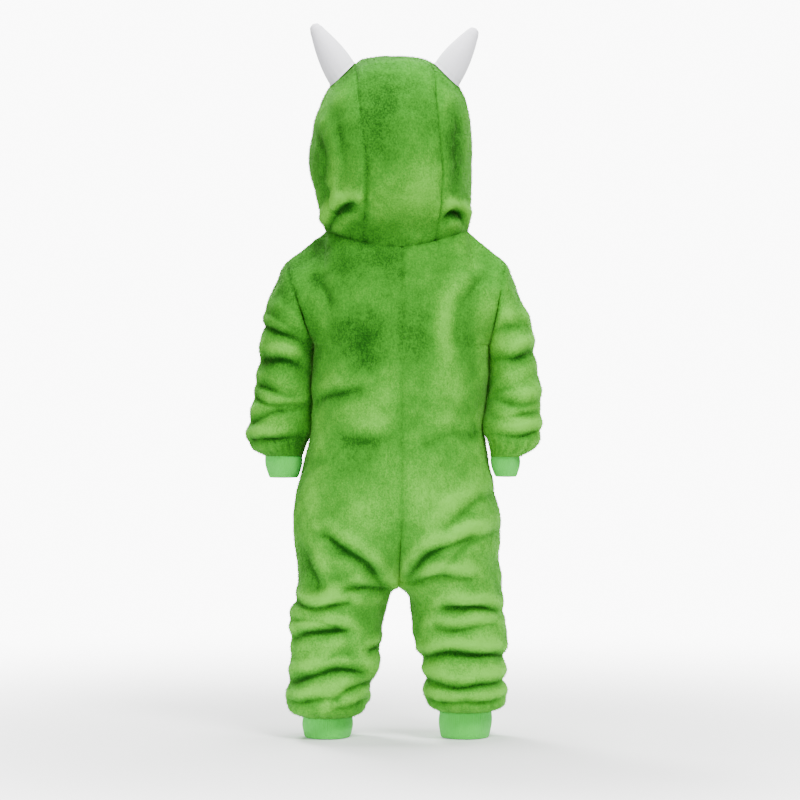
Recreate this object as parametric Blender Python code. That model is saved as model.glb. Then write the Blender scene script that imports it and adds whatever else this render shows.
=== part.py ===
"""A child's hooded plush one-piece suit, standing open and hollow as it is worn.

The tables are in millimetres and the meshes in metres. +X is the wearer's left, +Y the back and +Z up.
The origin is the middle of the neck, at the mean height of the shoulder seams.
"""

import math

import bmesh
import bpy
import numpy as np

MM = 0.001

# Cloth, in millimetres
PLUSH_WALL = 2.4
CUFF_WALL = 2.2
TAPE_WALL = 1.0
SEAM_GAP = 0.3
TAPE_GAP = 0.6
SLIDER_GAP = 0.8
# The neck seam is a little wider, because its two edges are faceted at different places
NECK_DROP = 0.95

# Left is +X and right is -X; back is +Y and front is -Y
LEFT = 1
RIGHT = -1
BACK = 1
FRONT = -1
SIDE_NAMES = {LEFT: "left", RIGHT: "right"}
FACE_NAMES = {BACK: "back", FRONT: "front"}

# Grid of the walls
BODY_COLUMNS = 10
NECK_COLUMNS = 6
YOKE_ROWS = 8
SLEEVE_ROWS = 24
SLEEVE_COLUMNS = 16
HOOD_SIDE_ROWS = 12
HOOD_SIDE_COLUMNS = 12
STRIP_COLUMNS = 6
CUFF_COLUMNS = 18
HORN_COLUMNS = 14


class Sections:
    """Rows of measures, read smoothly between the rows by their first column."""

    def __init__(self, columns, rows):
        table = np.array(rows, float)
        self.columns = columns
        self.table = table[np.argsort(table[:, 0])]

    def at(self, name, where):
        """The named column at one or many places, on a cubic curve through the rows."""
        known = self.table[:, 0]
        values = self.table[:, self.columns.index(name)]
        slopes = np.gradient(values, known)
        where = np.clip(np.asarray(where, float), known[0], known[-1])
        low = np.clip(np.searchsorted(known, where, side="right") - 1, 0, len(known) - 2)
        span = known[low + 1] - known[low]
        part = (where - known[low]) / span
        start = (2 * part**3 - 3 * part**2 + 1) * values[low]
        start_slope = (part**3 - 2 * part**2 + part) * span * slopes[low]
        end = (3 * part**2 - 2 * part**3) * values[low + 1]
        end_slope = (part**3 - part**2) * span * slopes[low + 1]
        return start + start_slope + end + end_slope


# Torso from the underarm to the crotch. The seam is the centre seam's x. The start angle is where a
# half's oval is cut by that seam: 0 in a torso, -90 degrees once it is a whole leg.
TORSO = Sections(
    ("height", "left_outer", "right_outer", "seam", "start_angle", "half_depth", "middle_y"),
    [
        (-118, 105.0, 102.5, 0.0, 0, 80, 0),
        (-157, 107.0, 102.5, 0.0, 0, 84, -4),
        (-190, 105.0, 98.5, 0.0, 0, 87, -7),
        (-212, 106.0, 95.5, 0.0, 0, 89, -8),
        (-231, 109.5, 99.0, 0.0, 0, 90, -7),
        (-256, 117.0, 102.5, 0.0, 0, 92, -5),
        (-288, 124.5, 109.0, 0.0, 0, 94, -2),
        (-318, 127.0, 114.5, 0.5, 0, 96, 0),
        (-345, 126.0, 115.0, 1.5, -14, 94, 1),
        (-365, 124.5, 113.0, 2.5, -35, 89, 1),
        (-380, 123.0, 115.0, 3.3, -55, 82, 1),
        (-391, 122.5, 117.5, 3.9, -74, 76, 0),
        (-398, 122.5, 117.5, 4.2, -90, 72, 0),
    ],
)

# Legs from the crotch to the ankle cuff, x measured out from the middle
LEG_COLUMNS = ("height", "outer", "inner", "half_depth", "middle_y")
LEGS = {
    LEFT: Sections(
        LEG_COLUMNS,
        [
            (-398, 122.5, 4.2, 72, 0),
            (-410, 123.0, 13.5, 69, 0),
            (-432, 130.0, 19.0, 63, -2),
            (-463, 130.0, 25.0, 59, -3),
            (-498, 131.5, 29.5, 56, -4),
            (-521, 134.0, 39.5, 54, -4),
            (-543, 135.0, 42.0, 51, -4),
            (-551, 130.0, 47.0, 45, -4),
            (-556.5, 117.0, 58.5, 32, -4),
        ],
    ),
    RIGHT: Sections(
        LEG_COLUMNS,
        [
            (-398, 117.5, -4.2, 72, 0),
            (-410, 118.0, 5.5, 69, 0),
            (-432, 118.0, 9.5, 63, -2),
            (-460, 125.0, 12.5, 59, -3),
            (-486, 120.5, 24.0, 56, -4),
            (-514, 119.5, 28.0, 54, -4),
            (-535, 121.5, 28.0, 51, -4),
            (-544, 118.5, 33.0, 45, -4),
            (-550, 106.0, 44.5, 32, -4),
        ],
    ),
}

# Squareness of the body's ovals: 2 is an ellipse
BODY_POWER = 2.2

# Shoulders and armholes
UNDERARM_HEIGHT = -118
SHOULDER_TIP = {LEFT: (137.0, -20.0), RIGHT: (122.5, -20.0)}
ARMHOLE_HALF_DEPTH = 45
YOKE_CURVE = 2.2
YOKE_SPREAD = 2.0
# The armhole's fullness near its edge, and how late the neck's corner shows in the yoke's rows
YOKE_EDGE_SPREAD = 5.0
YOKE_CORNER = 3.0

# Neck seam, on the hood's oval. Its height rises from the centre back to the shoulders.
NECK_BACK_HEIGHT = -4
NECK_SIDE_HEIGHT = 16
NECK_FRONT_HEIGHT = -32
NECK_BACK_RISE = 1.6
NECK_FRONT_RISE = 1.3

# Hood by height. Above the crown's base the ovals also close to the top.
HOOD = Sections(
    ("height", "middle_x", "half_width", "back_depth", "front_depth"),
    [
        (-40, 6.5, 84.5, 50, 54),
        (-10, 6.5, 84.5, 50, 57),
        (16, 6.5, 84.5, 60, 66),
        (35, 8.0, 87.0, 76, 74),
        (60, 10.0, 91.0, 92, 83),
        (94, 13.5, 95.0, 102, 91),
        (130, 12.0, 94.5, 104, 95),
        (170, 9.5, 94.0, 102, 97),
        (222, 9.0, 93.0, 100, 98),
    ],
)
CROWN_BASE = 96
CROWN_TOP = 222
HOOD_POWER = 2.3
CROWN_POWER = 2.6
HOOD_CENTRE = (9.0, 0.0, 95.0)

# Face opening: half width by height, from the chin to the corner of the centre strip
FACE = Sections(
    ("height", "half_width"),
    [
        (-32, 9),
        (-20, 30),
        (0, 46),
        (30, 59),
        (60, 66),
        (100, 70),
        (140, 69),
        (170, 59),
        (190, 44),
    ],
)
FOREHEAD_HEIGHT = 190
CHIN_HALF_GAP = 3.5

# Centre strip's seams by the way along the strip: 0 at the neck, 1 at the forehead
STRIP = Sections(
    ("along", "left", "right"),
    [(0.0, 44, -40), (0.3, 41, -46), (0.6, 52, -39), (0.8, 54, -36), (1.0, 50, -38)],
)
STRIP_CROWN_PART = 0.55

# Sleeves by section. Outer and inner are the ends of a ring seen from behind, x out from the middle.
SLEEVE_COLUMN_NAMES = ("along", "outer_x", "outer_z", "inner_x", "inner_z", "half_depth", "middle_y")
SLEEVES = {
    LEFT: Sections(
        SLEEVE_COLUMN_NAMES,
        [
            (0.00, 137.6, -20.3, 105.6, -118.3, 45.2, 0),
            (0.09, 147.0, -38.0, 107.0, -122.0, 45, 0),
            (0.19, 156.0, -60.0, 108.2, -129.0, 44, -1),
            (0.30, 161.5, -84.0, 109.0, -139.0, 43, -3),
            (0.42, 165.0, -112.0, 109.3, -152.0, 42, -5),
            (0.55, 168.0, -141.0, 109.6, -167.0, 41, -8),
            (0.68, 172.5, -167.0, 109.8, -183.0, 40, -11),
            (0.80, 177.0, -194.0, 110.5, -201.0, 39, -13),
            (0.90, 182.0, -220.0, 112.5, -219.0, 37.5, -15),
            (0.95, 181.5, -232.5, 113.5, -230.0, 35.5, -16),
            (0.98, 174.5, -242.0, 115.5, -240.5, 29, -16.5),
            (1.00, 162.5, -249.0, 118.0, -249.0, 22, -17),
        ],
    ),
    RIGHT: Sections(
        SLEEVE_COLUMN_NAMES,
        [
            (0.00, 123.1, -20.3, 103.1, -118.3, 45.2, 0),
            (0.09, 131.0, -40.0, 104.2, -122.0, 45, 0),
            (0.19, 140.0, -64.0, 105.0, -129.0, 44, 0),
            (0.30, 150.0, -88.0, 105.5, -138.0, 43, 1),
            (0.42, 153.5, -114.0, 105.5, -150.0, 42, 3),
            (0.55, 158.0, -143.0, 105.0, -165.0, 41, 7),
            (0.68, 162.5, -168.0, 103.5, -181.0, 40, 11),
            (0.80, 160.5, -194.0, 102.0, -199.0, 39, 15),
            (0.90, 160.5, -219.0, 103.0, -218.0, 37.5, 18),
            (0.95, 159.5, -231.5, 103.6, -230.0, 35.5, 20),
            (0.98, 152.0, -241.0, 103.8, -240.5, 29, 20.6),
            (1.00, 138.5, -249.0, 103.8, -249.0, 22, 21),
        ],
    ),
}

# Cuffs: x at the ends of the top and bottom rings, out from the middle, their heights, and half depths
CUFF_FIELDS = ("top_inner", "top_outer", "top", "bottom_inner", "bottom_outer", "bottom", "depths", "middle_y")
CUFFS = {
    "cuff_wrist_left": (LEFT, (118.3, 162.2, -249.3, 122.5, 158.0, -275.0, (21.7, 18.5), -17)),
    "cuff_wrist_right": (RIGHT, (104.1, 138.2, -249.3, 108.5, 135.0, -272.5, (21.7, 19.5), 21)),
    "cuff_ankle_left": (LEFT, (58.8, 116.7, -556.85, 60.5, 116.0, -580.5, (31.7, 31.0), -4)),
    "cuff_ankle_right": (RIGHT, (44.8, 105.7, -550.35, 45.0, 103.5, -580.5, (31.7, 31.0), -4)),
}
CUFF_ROWS = 4
CUFF_SWELL = 1.2

# Horns. Columns: x, y and height of the base's middle, then of the tip
HORNS = {
    LEFT: (70.5, 24.0, 199.5, 104.5, 17.0, 258.0),
    RIGHT: (-53.0, 24.0, 199.5, -86.5, 17.0, 253.0),
}
HORN_BASE_RADIUS = 19.5
HORN_SEAT_GAP = 0.5
HORN_PROFILE = Sections(
    ("along", "radius"),
    [(0.0, 1.0), (0.2, 0.93), (0.4, 0.82), (0.6, 0.67), (0.8, 0.49), (0.92, 0.35), (0.98, 0.2), (1.0, 0.04)],
)

# Folds seen from behind. Columns: x and z of both ends, how far the middle bows up, the trough's depth and
# half width. The ridges beside a trough take a share of its depth, and lie so many half widths away.
RIDGE_SHARE = 0.45
RIDGE_PLACE = 2.1
RIDGE_WIDTH = 0.9
BODY_BACK_FOLDS = [
    (97, -42, 84, -70, 0, 2.0, 9),
    (-88, -46, -72, -66, 0, 2.0, 9),
    (-66, -70, -64, -118, 0, 1.8, 10),
    (100, -186, 50, -170, 3, 2.6, 8),
    (71, -224, 14, -226, -5, 1.6, 10),
    (-30, -232, -86, -222, 4, 1.5, 10),
    (91, -341, 44, -366, -4, 3.2, 9),
    (44, -366, 20, -386, 0, 2.2, 8),
    (112, -360, 98, -400, 0, 3.0, 9),
    (-103, -313, -15, -378, 8, 3.2, 10),
    (-78, -343, -12, -381, 4, 2.2, 8),
    (70, -405, 16, -403, 4, 3.4, 7),
    (124, -421, 62, -418, -4, 5.0, 7),
    (127, -439, 76, -444, 2, 3.0, 7),
    (125, -462, 66, -452, 6, 6.0, 7),
    (38, -476, 26, -470, 0, 4.0, 6),
    (92, -486, 60, -480, 3, 2.6, 8),
    (127, -514, 48, -500, 8, 6.0, 8),
    (130, -535, 76, -531, 0, 3.6, 6),
    (76, -531, 34, -512, 3, 4.0, 7),
    (80, -545, 44, -534, 0, 3.0, 6),
    (-10, -395, -80, -389, 5, 3.2, 7),
    (-110, -430, -50, -424, 4, 6.0, 7),
    (-42, -448, -106, -444, -3, 3.2, 7),
    (-28, -482, -118, -484, 5, 6.0, 7),
    (-30, -513, -118, -512, -5, 5.0, 7),
    (-32, -534, -118, -532, -3, 3.6, 6),
]
# Front folds keep the back folds' outer ends, and slope the other way by this share
FRONT_SLOPE = -0.6
FRONT_TORSO_FOLDS = [
    (84, -150, 40, -190, -4, 2.4, 10),
    (-82, -160, -38, -186, -4, 2.2, 10),
    (96, -250, 30, -268, 6, 2.4, 10),
    (-90, -262, -28, -250, 5, 2.0, 10),
    (100, -345, 24, -384, 6, 3.4, 9),
    (-94, -340, -22, -384, 6, 3.4, 9),
]
LEG_FOLDS_START = 11
# Height over which the folds fade to nothing above an ankle cuff
ANKLE_FADE = 10
SLEEVE_BACK_FOLDS = {
    LEFT: [
        (157, -81, 112, -104, -2, 3.0, 8),
        (163, -97, 119, -117, 3, 5.0, 7),
        (162, -134, 112, -150, 4, 5.5, 8),
        (169, -166, 122, -178, -2, 3.6, 7),
        (172, -181, 116, -190, -3, 4.5, 7),
        (176, -208, 108, -189, 2, 4.5, 7),
        (178, -232, 112, -229, 3, 5.0, 6),
    ],
    RIGHT: [
        (-102, -110, -136, -95, 2, 3.4, 8),
        (-104, -133, -152, -128, -3, 5.5, 8),
        (-104, -171, -126, -171, 0, 3.2, 7),
        (-102, -180, -156, -186, -4, 5.0, 8),
        (-98, -195, -118, -204, 0, 3.4, 7),
        (-156, -197, -130, -203, 0, 3.6, 6),
        (-108, -224, -156, -220, -2, 4.5, 6),
    ],
}
# Hood folds on the back half
HOOD_FOLDS = [
    (64, 40, 78, 14, 0, 4.0, 7),
    (-56, 36, -66, 8, 0, 4.0, 7),
    (98, 128, 92, 30, 5, 3.6, 8),
    (76, 150, 70, 60, 3, 1.6, 11),
    (-62, 148, -60, 60, -3, 1.6, 11),
]

# Front zip
ZIP_TOP = -40
ZIP_BOTTOM = -322
ZIP_OPENING_HALF = 3.2
TAPE_HALF_WIDTH = 13
TEETH_HALF_WIDTH = 2.4
TEETH_WALL = 1.7
TEETH_GAP = 0.45
SLIDER_WIDTH = 9.0
SLIDER_LENGTH = 12.0
SLIDER_THICKNESS = 2.4
SLIDER_DROP = 12.0
LUG_THICKNESS = 1.4
LUG_HEIGHT = 4.6
PIN_RADIUS = 0.8
EYE_HOLE_RADIUS = 1.3
EYE_RADIUS = 2.7
PULL_LENGTH = 24.0
PULL_WIDTH = 7.0
PULL_THICKNESS = 1.6

# Colours: linear red, green, blue, then roughness and metallic
FINISHES = {
    "plush": ((0.115, 0.43, 0.05), 0.9, 0.0),
    "cuff_knit": ((0.115, 0.50, 0.12), 0.8, 0.0),
    "white_cloth": ((0.83, 0.80, 0.86), 0.85, 0.0),
    "zip_tape": ((0.10, 0.40, 0.06), 0.8, 0.0),
    "zip_teeth": ((0.12, 0.42, 0.07), 0.45, 0.0),
    "zip_metal": ((0.62, 0.62, 0.60), 0.32, 1.0),
}


def clear_scene():
    for thing in list(bpy.data.objects):
        bpy.data.objects.remove(thing, do_unlink=True)


def material(name):
    found = bpy.data.materials.get(name)
    if found:
        return found
    colour, roughness, metallic = FINISHES[name]
    made = bpy.data.materials.new(name)
    made.use_nodes = True
    shader = made.node_tree.nodes["Principled BSDF"]
    shader.inputs["Base Color"].default_value = (*colour, 1.0)
    shader.inputs["Roughness"].default_value = roughness
    shader.inputs["Metallic"].default_value = metallic
    return made


def add_object(name, points, faces, finish):
    """An object from points in millimetres, with its faces turned outwards and smooth."""
    mesh = bpy.data.meshes.new(name)
    mesh.from_pydata((np.asarray(points) * MM).tolist(), [], faces)
    shape = bmesh.new()
    shape.from_mesh(mesh)
    bmesh.ops.recalc_face_normals(shape, faces=shape.faces)
    shape.to_mesh(mesh)
    shape.free()
    mesh.shade_smooth()
    mesh.set_sharp_from_angle(angle=math.radians(40))
    mesh.materials.append(material(finish))
    thing = bpy.data.objects.new(name, mesh)
    bpy.context.scene.collection.objects.link(thing)
    return thing


def wall_faces(rows, columns, closed):
    """Faces of a wall whose outer points come first, row by row, then its inner points. Closed joins each row round."""
    faces = []
    inner = rows * columns
    last = columns if closed else columns - 1
    for row in range(rows - 1):
        for column in range(last):
            right = (column + 1) % columns
            here = row * columns + column
            beside = row * columns + right
            faces.append((here, beside, beside + columns, here + columns))
            faces.append((inner + here, inner + here + columns, inner + beside + columns, inner + beside))
    for row in (0, rows - 1):
        for column in range(last):
            here = row * columns + column
            beside = row * columns + (column + 1) % columns
            faces.append((here, beside, inner + beside, inner + here))
    if not closed:
        for row in range(rows - 1):
            for column in (0, columns - 1):
                here = row * columns + column
                faces.append((here, here + columns, inner + here + columns, inner + here))
    return faces


def add_wall(name, outer, inner, finish, closed=False):
    rows, columns = outer.shape[:2]
    points = np.concatenate([outer.reshape(-1, 3), inner.reshape(-1, 3)])
    return add_object(name, points, wall_faces(rows, columns, closed), finish)


def unit(vectors):
    return vectors / np.linalg.norm(vectors, axis=-1, keepdims=True)


def normals_of(framed):
    """Normals of the inner points of a grid that has one more row and column on every side."""
    across = framed[1:-1, 2:] - framed[1:-1, :-2]
    up = framed[2:, 1:-1] - framed[:-2, 1:-1]
    return unit(np.cross(across, up))


def power(values, exponent):
    """A signed power, which squares off an oval."""
    return np.sign(values) * np.abs(values) ** exponent


def soft_step(values):
    part = np.clip(values, 0, 1)
    return part * part * (3 - 2 * part)


def fold_shift(folds, x, z):
    """How far out each point moves: a trough along each fold, with a soft ridge on both its sides."""
    shift = np.zeros(np.shape(x))
    for x1, z1, x2, z2, bow, depth, half_width in folds:
        length = math.hypot(x2 - x1, z2 - z1)
        along = ((x - x1) * (x2 - x1) + (z - z1) * (z2 - z1)) / length**2
        across = ((z - z1) * abs(x2 - x1) - (x - x1) * (z2 - z1) * np.sign(x2 - x1 + 1e-9)) / length
        inside = np.clip(along, 0, 1)
        across = across - 4 * bow * inside * (1 - inside)
        off = np.hypot(across, (along - inside) * length) / half_width
        trough = np.exp(-(off**2))
        ridge = np.exp(-(((off - RIDGE_PLACE) / RIDGE_WIDTH) ** 2))
        shift += depth * (RIDGE_SHARE * ridge - trough)
    return shift


def front_of(folds):
    """The same folds as they pass round to the front: their ends at the side stay and they slope the other way."""
    turned = []
    for x1, z1, x2, z2, bow, depth, half_width in folds:
        if abs(x1) >= abs(x2):
            turned.append((x1, z1, x2, z1 + FRONT_SLOPE * (z2 - z1), -bow, depth, half_width))
        else:
            turned.append((x1, z2 + FRONT_SLOPE * (z1 - z2), x2, z2, -bow, depth, half_width))
    return turned


def two_face_shift(back_folds, front_folds, x, z, backness):
    """Folds of the back and of the front, run together at the sides. Backness is 1 at the back and -1 at the front."""
    share = soft_step(0.5 + backness)
    return share * fold_shift(back_folds, x, z) + (1 - share) * fold_shift(front_folds, x, z)


def hood_oval(height):
    """Middle, half width, back depth and front depth of the hood at a height."""
    return tuple(HOOD.at(name, height) for name in ("middle_x", "half_width", "back_depth", "front_depth"))


def neck_ring(angle):
    """Points of the neck seam. The angle runs from 0 at the centre back to 90 degrees at the left shoulder."""
    sine = np.sin(angle)
    cosine = np.cos(angle)
    back = NECK_BACK_HEIGHT + (NECK_SIDE_HEIGHT - NECK_BACK_HEIGHT) * np.abs(sine) ** NECK_BACK_RISE
    front = NECK_FRONT_HEIGHT + (NECK_SIDE_HEIGHT - NECK_FRONT_HEIGHT) * np.abs(sine) ** NECK_FRONT_RISE
    height = np.where(cosine >= 0, back, front)
    middle, half_width, back_depth, front_depth = hood_oval(height)
    x = middle + half_width * power(sine, 2 / HOOD_POWER)
    y = np.where(cosine >= 0, back_depth, front_depth) * power(cosine, 2 / HOOD_POWER)
    return np.stack([x, y, height], axis=-1)


def neck_angle(x, face):
    """The neck seam's angle at an x near the middle, on the back or the front."""
    middle, half_width = hood_oval(NECK_FRONT_HEIGHT)[:2]
    angle = math.asin(float(power((x - middle) / half_width, HOOD_POWER / 2)))
    return angle if face == BACK else math.pi - angle


# Body: each half of the back and the front is cut in one from the neck to the ankle


def half_section(side, height):
    """Outer x, inner x, start angle, half depth and middle y of one half of the body at each height."""
    crotch = TORSO.table[0, 0]
    torso = height >= crotch
    name = SIDE_NAMES[side] + "_outer"
    leg = LEGS[side]
    outer = np.where(torso, TORSO.at(name, height), leg.at("outer", height))
    inner = np.where(torso, TORSO.at("seam", height) * side, leg.at("inner", height))
    start = np.where(torso, TORSO.at("start_angle", height), -90.0)
    half_depth = np.where(torso, TORSO.at("half_depth", height), leg.at("half_depth", height))
    middle = np.where(torso, TORSO.at("middle_y", height), leg.at("middle_y", height))
    return outer, inner, np.radians(start), half_depth, middle


def half_body_points(side, face, height, share):
    """Points of one half at each height, and how far each lies to the back. The share runs from the centre to the side."""
    outer, inner, start, half_depth, middle = (np.asarray(v)[:, None] for v in half_section(side, height))
    angle = start + share[None, :] * (math.pi / 2 - start)
    exponent = 2 / BODY_POWER
    half_width = (outer - inner) / (1 - power(np.sin(start), exponent))
    x = outer - half_width + half_width * power(np.sin(angle), exponent)
    backness = face * power(np.cos(angle), exponent)
    y = middle + half_depth * backness
    z = np.broadcast_to(np.asarray(height)[:, None], x.shape)
    return np.stack([side * x, y, z], axis=-1), backness


def yoke_top(side, face):
    """The top edge of a half: along the neck seam, then along the shoulder seam."""
    start = neck_angle(0.0, face)
    end = side * math.pi / 2 if face == BACK or side == LEFT else 3 * math.pi / 2
    neck = neck_ring(np.linspace(start, end, NECK_COLUMNS + 1))
    tip_x, tip_z = SHOULDER_TIP[side]
    tip = np.array([side * tip_x, 0.0, tip_z])
    part = np.linspace(0, 1, BODY_COLUMNS - NECK_COLUMNS + 1)[1:, None]
    return np.concatenate([neck, neck[-1] + part * (tip - neck[-1])])


def eased(line):
    """A line of points with its corners eased, and its ends kept."""
    middle = (line[:-2] + 2 * line[1:-1] + line[2:]) / 4
    return np.concatenate([line[:1], middle, line[-1:]])


def yoke_points(side, face, turn):
    """Rows from the underarm to the top edge. The turn goes from 0 at the underarm to 180 degrees at the shoulder."""
    share = np.linspace(0, 1, BODY_COLUMNS + 1)
    base, _ = half_body_points(side, face, np.array([UNDERARM_HEIGHT]), share)
    top = yoke_top(side, face)
    rise = ((1 - np.cos(turn)) / 2)[:, None]
    corner = rise[..., None] ** YOKE_CORNER
    top = eased(top) * (1 - corner) + top * corner
    drop = 1 - rise**YOKE_CURVE
    x = base[0, :, 0] * (1 - rise) + top[..., 0] * rise
    z = base[0, :, 2] * (1 - rise) + top[..., 2] * rise
    y = base[0, :, 1] * drop + top[..., 1] * (1 - drop)
    swing = np.sin(turn)[:, None]
    edge = share**YOKE_EDGE_SPREAD
    y = y + face * ARMHOLE_HALF_DEPTH * (edge * swing + (share**YOKE_SPREAD - edge) * swing**3)
    return np.stack([x, y, z], axis=-1)


def panel_heights(side):
    """Heights of the rows below the underarm: wide in the torso, close at the crotch and in the leg."""
    crotch = TORSO.table[0, 0]
    ankle = LEGS[side].table[0, 0]
    torso = np.linspace(UNDERARM_HEIGHT, -318, 10)
    seat = np.linspace(-318, crotch, 8)[1:]
    leg = np.linspace(crotch, ankle, 18)[1:]
    return np.concatenate([torso, seat, leg])


def framed_body(side, face):
    """A half's grid with a row and a column more on every side, for its normals, and each point's backness."""
    step = 1 / BODY_COLUMNS
    share = np.linspace(-step, 1 + step, BODY_COLUMNS + 3)
    heights = panel_heights(side)[::-1]
    lower, backness = half_body_points(side, face, heights, share)
    below = lower[:1] + (lower[:1] - lower[1:2])
    turn = np.linspace(0, math.pi, YOKE_ROWS + 1)[1:]
    yoke = yoke_points(side, face, turn)
    seam = 2 * yoke[:, :1] - yoke[:, 1:2]
    seam[..., 1:] = yoke[:, 1:2, 1:]
    armhole = 2 * yoke[:, -1:] - yoke[:, -2:-1]
    yoke = np.concatenate([seam, yoke, armhole], axis=1)
    above = 2 * yoke[-1:] - yoke[-2:-1]
    shoulder = slice(NECK_COLUMNS + 1, None)
    above[0, shoulder] = yoke[-2, shoulder] * (1, -1, 1)
    flat = np.concatenate([backness, np.full(yoke.shape[:2], float(face))])
    return np.concatenate([below, lower, yoke, above]), flat[:, 1:-1]


def zip_pull_back(height):
    """How far a front edge stands back from the centre for the teeth, easing to nothing below the zip."""
    return ZIP_OPENING_HALF * soft_step((height - ZIP_BOTTOM + 14) / 14)


def body_front_folds():
    return FRONT_TORSO_FOLDS + front_of(BODY_BACK_FOLDS[LEG_FOLDS_START:])


def body_surface(side, face):
    """The outer points and normals of one half of the back or the front."""
    framed, backness = framed_body(side, face)
    points = framed[1:-1, 1:-1].copy()
    normals = normals_of(framed)
    normals *= np.sign((normals[..., 1] * face).mean())
    shift = two_face_shift(BODY_BACK_FOLDS, body_front_folds(), points[..., 0], points[..., 2], backness)
    shift = shift * soft_step((points[..., 2] - LEGS[side].table[0, 0]) / ANKLE_FADE)
    points = points + normals * shift[..., None]
    seam = TORSO.at("seam", points[..., 2])
    points[..., 0] = seam + side * np.maximum(side * (points[..., 0] - seam), 0)
    return points, normals


def body_panel(side, face):
    """One half of the back or the front, set half a seam's gap away from the panels beside it."""
    points, normals = body_surface(side, face)
    points = points + np.array([side, face, 0]) * SEAM_GAP / 2
    points[-1, : NECK_COLUMNS + 1, 2] -= NECK_DROP
    if face == FRONT:
        share = np.linspace(0, 1, BODY_COLUMNS + 1)
        room = zip_pull_back(points[..., 2]) * (points[..., 2] > TORSO.table[0, 0])
        points[..., 0] += side * room * (1 - share) ** 2
    return points, normals


def add_body_panel(side, face):
    points, normals = body_panel(side, face)
    name = f"{FACE_NAMES[face]}_{SIDE_NAMES[side]}"
    add_wall(name, points, points - normals * PLUSH_WALL, "plush")


# Sleeves


def sleeve_surface(side):
    """Rings of the sleeve from the armhole to the wrist, as outer points and normals."""
    table = SLEEVES[side]
    along = np.linspace(0, 1, SLEEVE_ROWS)
    column = {name: table.at(name, along)[:, None] for name in SLEEVE_COLUMN_NAMES}
    angle = np.linspace(0, 2 * math.pi, SLEEVE_COLUMNS, endpoint=False)[None, :]
    reach = (1 + np.cos(angle)) / 2
    x = column["inner_x"] + (column["outer_x"] - column["inner_x"]) * reach
    z = column["inner_z"] + (column["outer_z"] - column["inner_z"]) * reach
    y = column["middle_y"] + column["half_depth"] * np.sin(angle)
    points = np.stack([side * x, y, z], axis=-1)
    framed = np.concatenate([points[:, -1:], points, points[:, :1]], axis=1)
    framed = np.concatenate([2 * framed[:1] - framed[1:2], framed, 2 * framed[-1:] - framed[-2:-1]])
    normals = normals_of(framed)
    centres = points.mean(axis=1, keepdims=True)
    normals *= np.sign((normals * (points - centres)).sum(axis=-1).mean())
    folds = SLEEVE_BACK_FOLDS[side]
    backness = np.broadcast_to(np.sin(angle), x.shape)
    shift = two_face_shift(folds, front_of(folds), points[..., 0], points[..., 2], backness)
    ends = soft_step(along / 0.12)[:, None] * soft_step((1 - along) / 0.04)[:, None]
    shift = shift * ends * soft_step(0.15 + 1.2 * reach)
    return points + normals * shift[..., None], normals


def add_sleeve(side):
    """A tube whose two end edges lie square across it, against the armhole and the cuff."""
    points, normals = sleeve_surface(side)
    outward = unit(points - points.mean(axis=1, keepdims=True))
    along = np.linspace(0, 1, SLEEVE_ROWS)[:, None, None]
    share = soft_step(along / 0.1) * soft_step((1 - along) / 0.06)
    normals = unit(outward * (1 - share) + normals * share)
    add_wall(f"sleeve_{SIDE_NAMES[side]}", points, points - normals * PLUSH_WALL, "plush", closed=True)


def add_cuff(name):
    """A knitted tube that swells a little between its ends."""
    side, values = CUFFS[name]
    field = dict(zip(CUFF_FIELDS, values))
    angle = np.linspace(0, 2 * math.pi, CUFF_COLUMNS, endpoint=False)
    rings = []
    for part in np.linspace(0, 1, CUFF_ROWS):
        inner = field["top_inner"] + part * (field["bottom_inner"] - field["top_inner"])
        outer = field["top_outer"] + part * (field["bottom_outer"] - field["top_outer"])
        depth = field["depths"][0] + part * (field["depths"][1] - field["depths"][0])
        height = field["top"] + part * (field["bottom"] - field["top"])
        swell = CUFF_SWELL * math.sin(math.pi * part)
        x = side * ((inner + outer) / 2 + ((outer - inner) / 2 + swell) * np.cos(angle))
        y = field["middle_y"] + (depth + swell) * np.sin(angle)
        rings.append(np.stack([x, y, np.full_like(x, height)], axis=-1))
    outer = np.array(rings)
    centres = outer.mean(axis=1, keepdims=True)
    inward = unit(centres - outer)
    add_wall(name, outer, outer + inward * CUFF_WALL, "cuff_knit", closed=True)


# Hood


def hood_value(points):
    """Below 0 inside the hood's form and above 0 outside it."""
    x, y, z = np.moveaxis(points, -1, 0)
    middle, half_width, back_depth, front_depth = hood_oval(z)
    depth = np.where(y >= 0, back_depth, front_depth)
    oval = (np.abs(x - middle) / half_width) ** HOOD_POWER + (np.abs(y) / depth) ** HOOD_POWER
    rise = np.clip((z - CROWN_BASE) / (CROWN_TOP - CROWN_BASE), 0, None)
    return oval ** (CROWN_POWER / HOOD_POWER) + rise**CROWN_POWER - 1


def onto_hood(starts, directions):
    """Where lines from points inside the hood's form reach its surface."""
    near = np.zeros(starts.shape[:-1])
    far = np.full(starts.shape[:-1], 400.0)
    for _ in range(40):
        middle = (near + far) / 2
        inside = hood_value(starts + directions * middle[..., None]) < 0
        near = np.where(inside, middle, near)
        far = np.where(inside, far, middle)
    return starts + directions * far[..., None]


def hood_normals(points):
    """Outward normals of the hood's form."""
    step = 0.05
    slopes = [hood_value(points + step * axis) - hood_value(points - step * axis) for axis in np.eye(3)]
    return unit(np.stack(slopes, axis=-1))


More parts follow.
